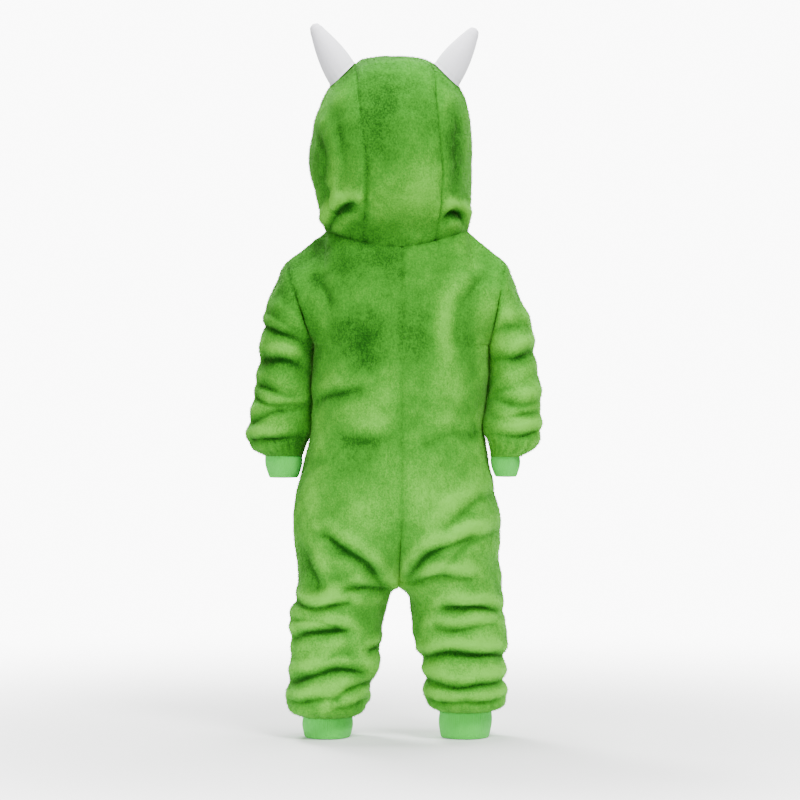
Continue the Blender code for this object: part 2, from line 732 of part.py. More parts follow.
def strip_points(x_shares, along):
    """Points of the centre strip: across it by share, and along it from the neck to the forehead."""
    centre_y, centre_z = HOOD_CENTRE[1:]
    grid = np.zeros((len(along), len(x_shares), 3))
    for row, way in enumerate(along):
        left = float(STRIP.at("left", way))
        right = float(STRIP.at("right", way))
        for column, share in enumerate(x_shares):
            x = left + share * (right - left)
            neck = neck_ring(np.array(neck_angle(x, BACK)))
            low = math.atan2(neck[2] - centre_z, neck[1] - centre_y)
            high = math.atan2(FOREHEAD_HEIGHT - centre_z, -forehead_reach(x))
            turn = low + way * (high - low)
            grid[row, column] = (x, turn, 0)
    starts = np.stack([grid[..., 0], np.full(grid.shape[:2], centre_y), np.full(grid.shape[:2], centre_z)], axis=-1)
    directions = np.stack([np.zeros(grid.shape[:2]), np.cos(grid[..., 1]), np.sin(grid[..., 1])], axis=-1)
    return onto_hood(starts, directions)


def forehead_reach(x):
    """How far forward the hood's form is at the forehead's height."""
    middle, half_width, _, front_depth = hood_oval(FOREHEAD_HEIGHT)
    rise = (FOREHEAD_HEIGHT - CROWN_BASE) / (CROWN_TOP - CROWN_BASE)
    room = (1 - rise**CROWN_POWER) ** (HOOD_POWER / CROWN_POWER)
    return float(front_depth * (room - (abs(x - middle) / half_width) ** HOOD_POWER) ** (1 / HOOD_POWER))


def face_edge(side, part):
    """The edge of the face opening on one side, from the chin to the centre strip's corner."""
    corner = strip_points([0.0 if side == LEFT else 1.0], [1.0])[0, 0]
    height = NECK_FRONT_HEIGHT + part * (FOREHEAD_HEIGHT - NECK_FRONT_HEIGHT)
    middle, half_width, _, front_depth = hood_oval(height)
    chin = side * CHIN_HALF_GAP
    x = side * FACE.at("half_width", height)
    x = x + (chin - x[0]) * (1 - part) ** 6 + (corner[0] - x[-1]) * part**6
    rise = np.clip((height - CROWN_BASE) / (CROWN_TOP - CROWN_BASE), 0, None)
    room = (1 - rise**CROWN_POWER) ** (HOOD_POWER / CROWN_POWER)
    y = -front_depth * (room - (np.abs(x - middle) / half_width) ** HOOD_POWER) ** (1 / HOOD_POWER)
    return np.stack([x, y, height], axis=-1)


def hood_side_points(side):
    """A four-sided patch between the neck, the centre strip and the face opening, laid on the hood's form."""
    column = [0.0 if side == LEFT else 1.0]
    rise = np.linspace(0, 1, HOOD_SIDE_ROWS)
    run = np.linspace(0, 1, HOOD_SIDE_COLUMNS)
    back_edge = strip_points(column, rise * STRIP_CROWN_PART)[:, 0]
    top_edge = strip_points(column, STRIP_CROWN_PART + run * (1 - STRIP_CROWN_PART))[:, 0]
    front_edge = face_edge(side, rise)
    start = neck_angle(back_edge[0, 0], BACK)
    end = neck_angle(side * CHIN_HALF_GAP, FRONT)
    end = end if side == LEFT else end - 2 * math.pi
    bottom_edge = neck_ring(start + run * (end - start))
    u = run[None, :, None]
    v = rise[:, None, None]
    flat = (1 - v) * bottom_edge + v * top_edge + (1 - u) * back_edge[:, None] + u * front_edge[:, None]
    corners = (1 - u) * (1 - v) * bottom_edge[0] + u * (1 - v) * bottom_edge[-1]
    corners = corners + (1 - u) * v * top_edge[0] + u * v * top_edge[-1]
    centre = np.array(HOOD_CENTRE)
    directions = unit(flat - corners - centre)
    return onto_hood(np.broadcast_to(centre, directions.shape).copy(), directions)


def fold_hood(points, normals):
    """The hood's folds, on its back half only."""
    shift = fold_shift(HOOD_FOLDS, points[..., 0], points[..., 2])
    shift = shift * soft_step(points[..., 1] / 25)
    return points + normals * shift[..., None]


def inset_edges(points, gap):
    """A grid with its edges drawn in along the surface by half a seam's gap."""
    moved = points.copy()
    for edge, beside in ((0, 1), (-1, -2)):
        moved[edge] += unit(points[beside] - points[edge]) * gap / 2
        moved[:, edge] += unit(points[:, beside] - points[:, edge]) * gap / 2
    return moved


def add_hood():
    back = np.linspace(0, STRIP_CROWN_PART, HOOD_SIDE_ROWS)
    top = np.linspace(STRIP_CROWN_PART, 1, HOOD_SIDE_COLUMNS)[1:]
    along = np.concatenate([back, top])
    parts = {"hood_center": strip_points(np.linspace(0, 1, STRIP_COLUMNS), along)}
    for side in (LEFT, RIGHT):
        parts["hood_side_" + SIDE_NAMES[side]] = hood_side_points(side)
    for name, points in parts.items():
        normals = hood_normals(points)
        points = inset_edges(fold_hood(points, normals), SEAM_GAP)
        add_wall(name, points, points - normals * PLUSH_WALL, "plush")


def add_horn(side):
    """A stuffed horn whose base follows the hood under it."""
    base, tip = np.array(HORNS[side][:3]), np.array(HORNS[side][3:])
    axis = unit(tip - base)
    across = unit(np.cross(axis, (0.0, 1.0, 0.0)))
    depth = np.cross(across, axis)
    angle = np.linspace(0, 2 * math.pi, HORN_COLUMNS, endpoint=False)[:, None]
    ring = np.cos(angle) * across + np.sin(angle) * depth
    inside = base - axis * 30
    seat_rings = []
    for share in (0.0, 0.5, 1.0):
        starts = inside + ring * HORN_BASE_RADIUS * share
        seat_rings.append(onto_hood(starts, np.broadcast_to(axis, starts.shape)) + axis * HORN_SEAT_GAP)
    rows = [seat_rings[1], seat_rings[2]]
    rim = seat_rings[2]
    for part, radius in HORN_PROFILE.table[1:]:
        centre = base + (tip - base) * part
        level = centre + ring * HORN_BASE_RADIUS * radius
        fade = (1 - part) ** 3
        rows.append(level + axis * ((rim - base) @ axis)[:, None] * fade)
    grid = np.concatenate(rows)
    count = HORN_COLUMNS
    points = np.concatenate([grid, seat_rings[0][:1], tip[None, :] + axis * 0.6])
    faces = []
    for row in range(len(rows) - 1):
        for column in range(count):
            here = row * count + column
            beside = row * count + (column + 1) % count
            faces.append((here, beside, beside + count, here + count))
    last = (len(rows) - 1) * count
    for column in range(count):
        beside = (column + 1) % count
        faces.append((len(grid), beside, column))
        faces.append((len(grid) + 1, last + column, last + beside))
    add_object("horn_" + SIDE_NAMES[side], points, faces, "white_cloth")


# Zip


def front_edge_points(side, x):
    """Points and normals at an x near the centre front, on the line of each row of a front panel, along the zip."""
    points, normals = body_panel(side, FRONT)
    rows = (points[:, 0, 2] > ZIP_BOTTOM) & (points[:, 0, 2] < ZIP_TOP)
    edge, beside = points[rows, 0], points[rows, 1]
    share = (x - edge[:, :1]) / (beside[:, :1] - edge[:, :1])
    return edge + share * (beside - edge), normals[rows, 0] * (0, 1, 1)


def add_zip_strip(name, ends, out, wall, finish):
    """A strip down the centre front between two ends (side, x), its face so far out from the front's outer surface."""
    outer = []
    inner = []
    for side, x in ends:
        points, normals = front_edge_points(side, x)
        normals = unit(normals)
        outer.append(points + normals * out)
        inner.append(points + normals * (out - wall))
    add_wall(name, np.stack(outer, axis=1), np.stack(inner, axis=1), finish)


def front_centre(height):
    """The front's outer point and normal on the centre line at a height."""
    points, normals = front_edge_points(LEFT, 0.0)
    order = np.argsort(points[:, 2])
    place = [np.interp(height, points[order, 2], points[order, i]) for i in range(3)]
    normal = [np.interp(height, points[order, 2], normals[order, i]) for i in range(3)]
    return np.array(place), unit(np.array(normal))


def box_faces():
    return [(0, 1, 3, 2), (4, 6, 7, 5), (0, 4, 5, 1), (2, 3, 7, 6), (0, 2, 6, 4), (1, 5, 7, 3)]


def add_block(name, centre, axes, sizes, finish):
    """A block by its centre, three unit axes and full sizes in millimetres."""
    corners = []
    for i in (-0.5, 0.5):
        for j in (-0.5, 0.5):
            for k in (-0.5, 0.5):
                corners.append(centre + i * sizes[0] * axes[0] + j * sizes[1] * axes[1] + k * sizes[2] * axes[2])
    return add_object(name, np.array(corners), box_faces(), finish)


def add_rod(name, centre, direction, radius, length, sides):
    """A round rod by its centre and direction, to join to another piece or to cut it."""
    direction = unit(np.asarray(direction, float))
    first = unit(np.cross(direction, (0.0, 0.3, 1.0)))
    second = np.cross(direction, first)
    angle = np.linspace(0, 2 * math.pi, sides, endpoint=False)[:, None]
    ring = radius * (np.cos(angle) * first + np.sin(angle) * second)
    points = np.concatenate([centre - direction * length / 2 + ring, centre + direction * length / 2 + ring])
    faces = [tuple(range(sides)), tuple(range(sides, 2 * sides))]
    for column in range(sides):
        beside = (column + 1) % sides
        faces.append((column, beside, beside + sides, column + sides))
    return add_object(name, points, faces, "zip_metal")


def combine(target, other, operation):
    """Joins or cuts the target with the other, which stays as a hidden helper."""
    change = target.modifiers.new(other.name, "BOOLEAN")
    change.operation = operation
    change.object = other
    other.hide_render = True
    other.display_type = "WIRE"


def add_slider_and_pull():
    """The slider at the top of the teeth and its pull tab, which turns on the slider's pin."""
    middle, out = front_centre(ZIP_TOP - SLIDER_DROP)
    across = np.array([1.0, 0.0, 0.0])
    down = np.cross(across, out)
    down = down if down[2] < 0 else -down
    plate = middle + out * (SLIDER_GAP + SLIDER_THICKNESS / 2)
    slider = add_block("zip_slider", plate, (across, down, out), (SLIDER_WIDTH, SLIDER_LENGTH, SLIDER_THICKNESS), "zip_metal")
    pin = plate + out * (SLIDER_THICKNESS / 2 + EYE_RADIUS + SEAM_GAP)
    spread = PULL_WIDTH / 4 + LUG_THICKNESS
    for side in (LEFT, RIGHT):
        lug = plate + across * side * spread + out * (SLIDER_THICKNESS + LUG_HEIGHT) / 2
        sizes = (LUG_THICKNESS, EYE_RADIUS * 2, LUG_HEIGHT + 1)
        helper = add_block(f"lug_{SIDE_NAMES[side]}", lug, (across, down, out), sizes, "zip_metal")
        combine(slider, helper, "UNION")
    rod = add_rod("pin", pin, across, PIN_RADIUS, 2 * spread, 10)
    combine(slider, rod, "UNION")
    eye_width = 2 * (spread - LUG_THICKNESS / 2) - 2 * SEAM_GAP
    pull = add_rod("zip_pull", pin, across, EYE_RADIUS, eye_width, 16)
    grip_length = PULL_LENGTH * 0.6
    neck_start = EYE_RADIUS * 0.7
    neck_end = PULL_LENGTH - grip_length + PULL_THICKNESS
    sizes = (eye_width * 0.8, neck_end - neck_start, PULL_THICKNESS * 0.8)
    neck = add_block("pull_neck", pin + down * (neck_start + neck_end) / 2, (across, down, out), sizes, "zip_metal")
    combine(pull, neck, "UNION")
    grip_centre = pin + down * (PULL_LENGTH - grip_length / 2)
    grip = add_block("pull_grip", grip_centre, (across, down, out), (PULL_WIDTH, grip_length, PULL_THICKNESS), "zip_metal")
    combine(pull, grip, "UNION")
    hole = add_rod("eye_hole", pin, across, EYE_HOLE_RADIUS, PULL_WIDTH * 2, 12)
    combine(pull, hole, "DIFFERENCE")
    move_origin(pull, pin)
    return pin


def move_origin(thing, place):
    """Puts an object's origin at a point in millimetres without moving its shape."""
    offset = np.asarray(place) * MM
    for vertex in thing.data.vertices:
        vertex.co = vertex.co - type(vertex.co)(offset.tolist())
    thing.location = offset.tolist()


def add_zip():
    inside = -(PLUSH_WALL + TAPE_GAP)
    for side in (LEFT, RIGHT):
        ends = ((side, side * SEAM_GAP / 2), (side, side * TAPE_HALF_WIDTH))
        add_zip_strip("zip_tape_" + SIDE_NAMES[side], ends, inside, TAPE_WALL, "zip_tape")
    ends = ((RIGHT, -TEETH_HALF_WIDTH), (LEFT, TEETH_HALF_WIDTH))
    add_zip_strip("zip_teeth", ends, inside + TEETH_GAP + TEETH_WALL, TEETH_WALL, "zip_teeth")
    add_slider_and_pull()


def main():
    clear_scene()
    for side in (LEFT, RIGHT):
        for face in (BACK, FRONT):
            add_body_panel(side, face)
        add_sleeve(side)
        add_horn(side)
    for name in CUFFS:
        add_cuff(name)
    add_hood()
    add_zip()


main()
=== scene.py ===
"""The looks of a child's hooded plush one-piece suit, worn open and hollow.

The tables are in millimetres, as in the solids' own source, and the meshes are in metres.
+X is the wearer's left, +Y the back and +Z up. The cloth is laid out again on the solids' forms
with a finer grid, and its creases, pile, seams, knit and zip teeth are added here.
"""

import functools
import math

import bmesh
import bpy
import numpy as np
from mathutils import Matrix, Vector


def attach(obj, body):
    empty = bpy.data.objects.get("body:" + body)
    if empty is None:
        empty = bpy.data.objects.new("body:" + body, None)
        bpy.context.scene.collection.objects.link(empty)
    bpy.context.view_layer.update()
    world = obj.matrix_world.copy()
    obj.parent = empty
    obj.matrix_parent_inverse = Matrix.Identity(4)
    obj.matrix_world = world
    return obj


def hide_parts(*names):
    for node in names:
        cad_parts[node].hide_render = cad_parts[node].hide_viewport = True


bl_info = {
    "name": "Hooded plush suit",
    "version": (1, 0, 0),
    "blender": (4, 5, 0),
    "location": "3D View > Sidebar > Plush Suit",
    "description": "Sews a child's hooded plush one-piece suit around its packed solids",
    "category": "Object",
}

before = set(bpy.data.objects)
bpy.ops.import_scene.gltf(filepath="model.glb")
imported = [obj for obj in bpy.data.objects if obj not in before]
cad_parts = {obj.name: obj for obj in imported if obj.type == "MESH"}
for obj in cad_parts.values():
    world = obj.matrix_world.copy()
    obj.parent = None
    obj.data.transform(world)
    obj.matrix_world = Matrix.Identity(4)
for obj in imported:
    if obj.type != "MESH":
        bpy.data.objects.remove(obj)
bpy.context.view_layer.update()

MM = 0.001

# Cloth, in millimetres
PLUSH_WALL = 2.4
CUFF_WALL = 2.2
TAPE_WALL = 1.0
SEAM_GAP = 0.06
NECK_DROP = 0.2
TAPE_GAP = 0.6

# Left is +X and right is -X; back is +Y and front is -Y
LEFT = 1
RIGHT = -1
BACK = 1
FRONT = -1
SIDE_NAMES = {LEFT: "left", RIGHT: "right"}
FACE_NAMES = {BACK: "back", FRONT: "front"}

# Grid of the cloth: columns and rows of each kind of piece
BODY_COLUMNS = 64
NECK_COLUMNS = 38
YOKE_ROWS = 52
TORSO_ROWS = 90
SEAT_ROWS = 46
LEG_ROWS = 92
SLEEVE_ROWS = 104
SLEEVE_COLUMNS = 104
HOOD_SIDE_ROWS = 84
HOOD_SIDE_COLUMNS = 84
STRIP_COLUMNS = 38
HORN_COLUMNS = 56
HORN_ROWS = 44


class Sections:
    """Rows of measures, read smoothly between the rows by their first column."""

    def __init__(self, columns, rows):
        table = np.array(rows, float)
        self.columns = columns
        self.table = table[np.argsort(table[:, 0])]

    def at(self, name, where):
        """The named column at one or many places, on a cubic curve through the rows."""
        known = self.table[:, 0]
        values = self.table[:, self.columns.index(name)]
        slopes = np.gradient(values, known)
        where = np.clip(np.asarray(where, float), known[0], known[-1])
        low = np.clip(np.searchsorted(known, where, side="right") - 1, 0, len(known) - 2)
        span = known[low + 1] - known[low]
        part = (where - known[low]) / span
        start = (2 * part**3 - 3 * part**2 + 1) * values[low]
        start_slope = (part**3 - 2 * part**2 + part) * span * slopes[low]
        end = (3 * part**2 - 2 * part**3) * values[low + 1]
        end_slope = (part**3 - part**2) * span * slopes[low + 1]
        return start + start_slope + end + end_slope


# Torso from the underarm to the crotch. The seam is the centre seam's x. The start angle is where a
# half's oval is cut by that seam: 0 in a torso, -90 degrees once it is a whole leg.
TORSO = Sections(
    ("height", "left_outer", "right_outer", "seam", "start_angle", "half_depth", "middle_y"),
    [
        (-118, 105.0, 102.5, 0.0, 0, 80, 0),
        (-157, 107.0, 102.5, 0.0, 0, 84, -4),
        (-190, 105.0, 98.5, 0.0, 0, 87, -7),
        (-212, 106.0, 95.5, 0.0, 0, 89, -8),
        (-231, 109.5, 99.0, 0.0, 0, 90, -7),
        (-256, 117.0, 102.5, 0.0, 0, 92, -5),
        (-288, 124.5, 109.0, 0.0, 0, 94, -2),
        (-318, 127.0, 114.5, 0.5, 0, 96, 0),
        (-345, 126.0, 115.0, 1.5, -14, 94, 1),
        (-365, 124.5, 113.0, 2.5, -35, 89, 1),
        (-380, 123.0, 115.0, 3.3, -55, 82, 1),
        (-391, 122.5, 117.5, 3.9, -74, 76, 0),
        (-398, 122.5, 117.5, 4.2, -90, 72, 0),
    ],
)

# Legs from the crotch to the ankle cuff, x measured out from the middle
LEG_COLUMNS = ("height", "outer", "inner", "half_depth", "middle_y")
LEGS = {
    LEFT: Sections(
        LEG_COLUMNS,
        [
            (-398, 122.5, 4.2, 72, 0),
            (-410, 123.0, 13.5, 69, 0),
            (-432, 130.0, 19.0, 63, -2),
            (-463, 130.0, 25.0, 59, -3),
            (-498, 131.5, 29.5, 56, -4),
            (-521, 134.0, 39.5, 54, -4),
            (-543, 135.0, 42.0, 51, -4),
            (-551, 130.0, 47.0, 45, -4),
            (-556.5, 117.0, 58.5, 32, -4),
        ],
    ),
    RIGHT: Sections(
        LEG_COLUMNS,
        [
            (-398, 117.5, -4.2, 72, 0),
            (-410, 118.0, 5.5, 69, 0),
            (-432, 118.0, 9.5, 63, -2),
            (-460, 125.0, 12.5, 59, -3),
            (-486, 120.5, 24.0, 56, -4),
            (-514, 119.5, 28.0, 54, -4),
            (-535, 121.5, 28.0, 51, -4),
            (-544, 118.5, 33.0, 45, -4),
            (-550, 106.0, 44.5, 32, -4),
        ],
    ),
}

# Squareness of the body's ovals: 2 is an ellipse
BODY_POWER = 2.2

# Shoulders and armholes
UNDERARM_HEIGHT = -118
SHOULDER_TIP = {LEFT: (137.0, -20.0), RIGHT: (122.5, -20.0)}
ARMHOLE_HALF_DEPTH = 45
UNDERARM_FADE = 35
YOKE_CURVE = 2.2
YOKE_SPREAD = 2.0

# Neck seam, on the hood's oval. Its height rises from the centre back to the shoulders.
NECK_BACK_HEIGHT = -4
NECK_SIDE_HEIGHT = 16
NECK_FRONT_HEIGHT = -32
NECK_BACK_RISE = 1.6
NECK_FRONT_RISE = 1.3

# Hood by height. Above the crown's base the ovals also close to the top.
HOOD = Sections(
    ("height", "middle_x", "half_width", "back_depth", "front_depth"),
    [
        (-40, 6.5, 84.5, 50, 54),
        (-10, 6.5, 84.5, 50, 57),
        (16, 6.5, 84.5, 60, 66),
        (35, 8.0, 87.0, 76, 74),
        (60, 10.0, 91.0, 92, 83),
        (94, 13.5, 95.0, 102, 91),
        (130, 12.0, 94.5, 104, 95),
        (170, 9.5, 94.0, 102, 97),
        (222, 9.0, 93.0, 100, 98),
    ],
)
CROWN_BASE = 96
CROWN_TOP = 222
HOOD_POWER = 2.3
CROWN_POWER = 2.6
HOOD_CENTRE = (9.0, 0.0, 95.0)

# Face opening: half width by height, from the chin to the corner of the centre strip
FACE = Sections(
    ("height", "half_width"),
    [
        (-32, 9),
        (-20, 30),
        (0, 46),
        (30, 59),
        (60, 66),
        (100, 70),
        (140, 69),
        (170, 59),
        (190, 44),
    ],
)
FOREHEAD_HEIGHT = 190
CHIN_HALF_GAP = 3.5

# Centre strip's seams by the way along the strip: 0 at the neck, 1 at the forehead
STRIP = Sections(
    ("along", "left", "right"),
    [(0.0, 44, -40), (0.3, 41, -46), (0.6, 52, -39), (0.8, 54, -36), (1.0, 50, -38)],
)
STRIP_CROWN_PART = 0.55

# Sleeves by section. Outer and inner are the ends of a ring seen from behind, x out from the middle.
SLEEVE_COLUMN_NAMES = ("along", "outer_x", "outer_z", "inner_x", "inner_z", "half_depth", "middle_y")
SLEEVES = {
    LEFT: Sections(
        SLEEVE_COLUMN_NAMES,
        [
            (0.00, 137.6, -20.3, 105.6, -118.3, 45.2, 0),
            (0.09, 147.0, -38.0, 107.0, -122.0, 45, 0),
            (0.19, 156.0, -60.0, 108.2, -129.0, 44, -1),
            (0.30, 161.5, -84.0, 109.0, -139.0, 43, -3),
            (0.42, 165.0, -112.0, 109.3, -152.0, 42, -5),
            (0.55, 168.0, -141.0, 109.6, -167.0, 41, -8),
            (0.68, 172.5, -167.0, 109.8, -183.0, 40, -11),
            (0.80, 177.0, -194.0, 110.5, -201.0, 39, -13),
            (0.90, 182.0, -220.0, 112.5, -219.0, 37.5, -15),
            (0.95, 181.5, -232.5, 113.5, -230.0, 35.5, -16),
            (0.98, 174.5, -242.0, 115.5, -240.5, 29, -16.5),
            (1.00, 162.5, -249.0, 118.0, -249.0, 22, -17),
        ],
    ),
    RIGHT: Sections(
        SLEEVE_COLUMN_NAMES,
        [
            (0.00, 123.1, -20.3, 103.1, -118.3, 45.2, 0),
            (0.09, 131.0, -40.0, 104.2, -122.0, 45, 0),
            (0.19, 140.0, -64.0, 105.0, -129.0, 44, 0),
            (0.30, 150.0, -88.0, 105.5, -138.0, 43, 1),
            (0.42, 153.5, -114.0, 105.5, -150.0, 42, 3),
            (0.55, 158.0, -143.0, 105.0, -165.0, 41, 7),
            (0.68, 162.5, -168.0, 103.5, -181.0, 40, 11),
            (0.80, 160.5, -194.0, 102.0, -199.0, 39, 15),
            (0.90, 160.5, -219.0, 103.0, -218.0, 37.5, 18),
            (0.95, 159.5, -231.5, 103.6, -230.0, 35.5, 20),
            (0.98, 152.0, -241.0, 103.8, -240.5, 29, 20.6),
            (1.00, 138.5, -249.0, 103.8, -249.0, 22, 21),
        ],
    ),
}

# Cuffs: x at the ends of the top and bottom rings, out from the middle, their heights, and half depths
CUFF_FIELDS = (
    "top_inner", "top_outer", "top", "bottom_inner", "bottom_outer", "bottom", "depths", "middle_y",
)
CUFFS = {
    "cuff_wrist_left": (LEFT, (118.3, 162.2, -249.3, 122.5, 158.0, -275.0, (21.7, 18.5), -17)),
    "cuff_wrist_right": (RIGHT, (104.1, 138.2, -249.3, 108.5, 135.0, -272.5, (21.7, 19.5), 21)),
    "cuff_ankle_left": (LEFT, (58.8, 116.7, -556.85, 60.5, 116.0, -580.5, (31.7, 31.0), -4)),
    "cuff_ankle_right": (RIGHT, (44.8, 105.7, -550.35, 45.0, 103.5, -580.5, (31.7, 31.0), -4)),
}

# Horns. Columns: x, y and height of the base's middle, then of the tip
HORNS = {
    LEFT: (70.5, 24.0, 199.5, 104.5, 17.0, 258.0),
    RIGHT: (-53.0, 24.0, 199.5, -86.5, 17.0, 253.0),
}
HORN_BASE_RADIUS = 19.5
HORN_SEAT_GAP = 0.5
# How deep inside the hood the lines start that find the horns' seat on it
HORN_ROOT = 30
HORN_PROFILE = Sections(
    ("along", "radius"),
    [(0.0, 1.0), (0.2, 0.93), (0.4, 0.82), (0.6, 0.67), (0.8, 0.49), (0.92, 0.35), (0.98, 0.2), (1.0, 0.04)],
)

# Folds seen from behind. Columns: x and z of both ends, how far the middle bows up, the crease's depth
# and its half width. A crease has a narrow core in a shallow trough. Above it the cloth swells close by,
# below it less and farther off: share of the depth, half widths away and half widths wide.
CREASE_CORE = 0.4
CORE_SHARE = 0.62
RIDGE_ABOVE = (0.8, 1.65, 1.05)
RIDGE_BELOW = (0.36, 2.0, 1.15)
FOLD_WANDER = 1.3
BODY_BACK_FOLDS = [
    (97, -42, 84, -70, 0, 2.0, 9),
    (-88, -46, -72, -66, 0, 2.0, 9),
    (-66, -70, -64, -118, 0, 1.8, 10),
    (100, -186, 50, -170, 3, 2.6, 8),
    (71, -224, 14, -226, -5, 1.6, 10),
    (-30, -232, -86, -222, 4, 1.5, 10),
    (91, -340, 22, -395, 6, 4.4, 8),
    (112, -360, 98, -400, 0, 3.0, 9),
    (-107, -293, -50, -334, 6, 2.8, 10),
    (-83, -342, -7, -386, 9, 5.0, 8),
    (-110, -336, -48, -376, 6, 2.8, 9),
    (70, -405, 16, -403, 4, 3.4, 7),
    (124, -421, 62, -418, -4, 5.0, 7),
    (127, -439, 76, -444, 2, 3.0, 7),
    (125, -462, 66, -452, 6, 6.0, 7),
    (38, -476, 26, -470, 0, 4.0, 6),
    (92, -486, 60, -480, 3, 2.6, 8),
    (127, -514, 48, -500, 8, 6.0, 8),
    (130, -535, 76, -531, 0, 3.6, 6),
    (76, -531, 34, -512, 3, 4.0, 7),
    (80, -545, 44, -534, 0, 3.0, 6),
    (-10, -395, -80, -389, 5, 3.2, 7),
    (-110, -430, -50, -424, 4, 6.0, 7),
    (-42, -448, -106, -444, -3, 3.2, 7),
    (-28, -482, -118, -484, 5, 6.0, 7),
    (-30, -513, -118, -512, -5, 5.0, 7),
    (-32, -534, -118, -532, -3, 3.6, 6),
]
FRONT_TORSO_FOLDS = [
    (84, -150, 40, -190, -4, 2.4, 10),
    (-82, -160, -38, -186, -4, 2.2, 10),
    (96, -250, 30, -268, 6, 2.4, 10),
    (-90, -262, -28, -250, 5, 2.0, 10),
    (100, -345, 24, -384, 6, 3.4, 9),
    (-94, -340, -22, -384, 6, 3.4, 9),
]
SLEEVE_BACK_FOLDS = {
    LEFT: [
        (157, -81, 112, -104, -2, 3.0, 8),
        (163, -97, 119, -117, 3, 5.0, 7),
        (162, -134, 112, -150, 4, 5.5, 8),
        (169, -166, 122, -178, -2, 3.6, 7),
        (172, -181, 116, -190, -3, 4.5, 7),
        (176, -208, 108, -189, 2, 4.5, 7),
        (178, -232, 112, -229, 3, 5.0, 6),
    ],
    RIGHT: [
        (-102, -110, -136, -95, 2, 3.4, 8),
        (-104, -133, -152, -128, -3, 5.5, 8),
        (-104, -171, -126, -171, 0, 3.2, 7),
        (-102, -180, -156, -186, -4, 5.0, 8),
        (-98, -195, -118, -204, 0, 3.4, 7),
        (-156, -197, -130, -203, 0, 3.6, 6),
        (-108, -224, -156, -220, -2, 4.5, 6),
    ],
}
# Folds on the hood's back half, and over what distance they fade towards its front and its seams
HOOD_FOLD_FADE = 25
HOOD_EDGE_FADE = 6
HOOD_FOLDS = [
    (57, 44, 75, 33, 2, 7.0, 7),
    (75, 33, 90, 16, 0, 4.0, 6),
    (84, 62, 81, 36, 0, 3.0, 5),
    (-52, 30, -67, 33, 3, 6.0, 6),
    (-67, 33, -76, 20, 0, 3.0, 6),
    (98, 128, 92, 50, 5, 2.4, 8),
    (76, 150, 70, 60, 3, 1.6, 11),
    (-62, 148, -60, 60, -3, 1.6, 11),
]

# Folds that pass round to the front: how much they slope the other way there, and the first such row,
# from the crotch down, of the body's table
FRONT_SLOPE = -0.6
LEG_FOLDS_START = 11
# Height over which the folds fade to nothing above an ankle cuff
ANKLE_FADE = 10
# The sleeves' inner side swells to the body: how far its pile presses in, and the most that it swells
TOUCH_PRESS = 1.8
TOUCH_MOST = 8.0

# Patches where the pile is painted darker or lighter, seen from behind: most for its brushed nap, some as
# painted shade in the hollows of the hood's lower tucks, over the legs and over the left sleeve, and one as
# painted light on the hood's left side. Columns: x and z of the middle, half width, half height and how much
# lighter. Then their general share, and the drift of the tone across the suit and up it, lighter towards -X
# and darker upwards.
NAP_AND_PAINTED_LIGHT_PATCHES = [
    (13, 166, 28, 50, -0.2),
    # Painted light on the hood's left side
    (74, 120, 16, 60, 0.28),
    (8, 48, 44, 36, 0.22),
    (22, 105, 16, 30, -0.2),
    (-20, 62, 18, 50, 0.42),
    (24, 31, 18, 20, 0.15),
    (88, 94, 7, 36, 0.25),
    (67, 84, 12, 26, 0.25),
    (-59, 136, 10, 34, -0.25),
    (-75, 94, 6, 60, 0.25),
    (-61, 48, 12, 9, 0.3),
    (67, 55, 10, 8, 0.3),
    # Painted shade in the hollows of the hood's lower tucks, this row and the next
    (65, 37, 9, 5, -0.9),
    (-62, 31, 8, 5, -0.9),
    (59, 20, 16, 9, -0.15),
    (-58, 18, 14, 8, -0.15),
    (55, -31, 30, 25, -0.25),
    (101, -45, 8, 14, -0.35),
    (91, -81, 9, 34, 0.35),
    (59, -102, 26, 54, -0.1),
    (89, -151, 18, 24, 0.4),
    (18, -138, 14, 40, 0.3),
    (-17, -126, 12, 54, -0.12),
    (-49, -106, 12, 50, 0.45),
    (-76, -98, 11, 46, -0.3),
    (-94, -136, 10, 50, 0.3),
    (-88, -47, 12, 18, -0.3),
    (63, -175, 24, 10, -0.4),
    (-20, -183, 14, 12, -0.2),
    (-66, -169, 16, 16, 0.35),
    (32, -232, 32, 10, -0.25),
    (42, -204, 22, 11, 0.3),
    (97, -232, 12, 24, 0.35),
    (93, -254, 14, 5, -0.25),
    (106, -291, 12, 30, 0.4),
    (-51, -301, 38, 36, 0.45),
    (-86, -222, 9, 10, -0.35),
    (-92, -212, 5, 24, 0.3),
    (5, -206, 10, 16, -0.3),
    (42, -307, 40, 36, 0.15),
    (0, -290, 80, 50, 0.18),
    (-84, -317, 20, 8, -0.4),
    (-39, -363, 16, 9, -0.45),
    (-62, -375, 26, 6, 0.4),
    (-81, -360, 16, 8, -0.3),
    (66, -358, 20, 8, -0.45),
    (94, -366, 12, 10, 0.35),
    (78, -387, 20, 6, -0.35),
    # Painted shade: the legs darker in this row, the left sleeve in the next
    (0, -485, 220, 75, -0.13),
    (150, -150, 60, 90, -0.12),
    (90, -410, 26, 12, 0.2),
    (60, -432, 26, 10, -0.3),
    (100, -475, 26, 16, 0.25),
    (50, -500, 24, 12, -0.25),
    (-90, -408, 26, 12, -0.2),
    (-50, -430, 26, 8, -0.25),
    (-80, -462, 32, 12, 0.3),
    (-70, -498, 36, 10, 0.25),
    (150, -80, 18, 26, -0.25),
    (140, -125, 22, 14, 0.2),
    (150, -200, 22, 16, 0.15),
    (-118, -70, 18, 26, 0.1),
    (-130, -115, 20, 12, 0.25),
    (-130, -150, 20, 12, 0.25),
    (-132, -212, 20, 12, 0.25),
]
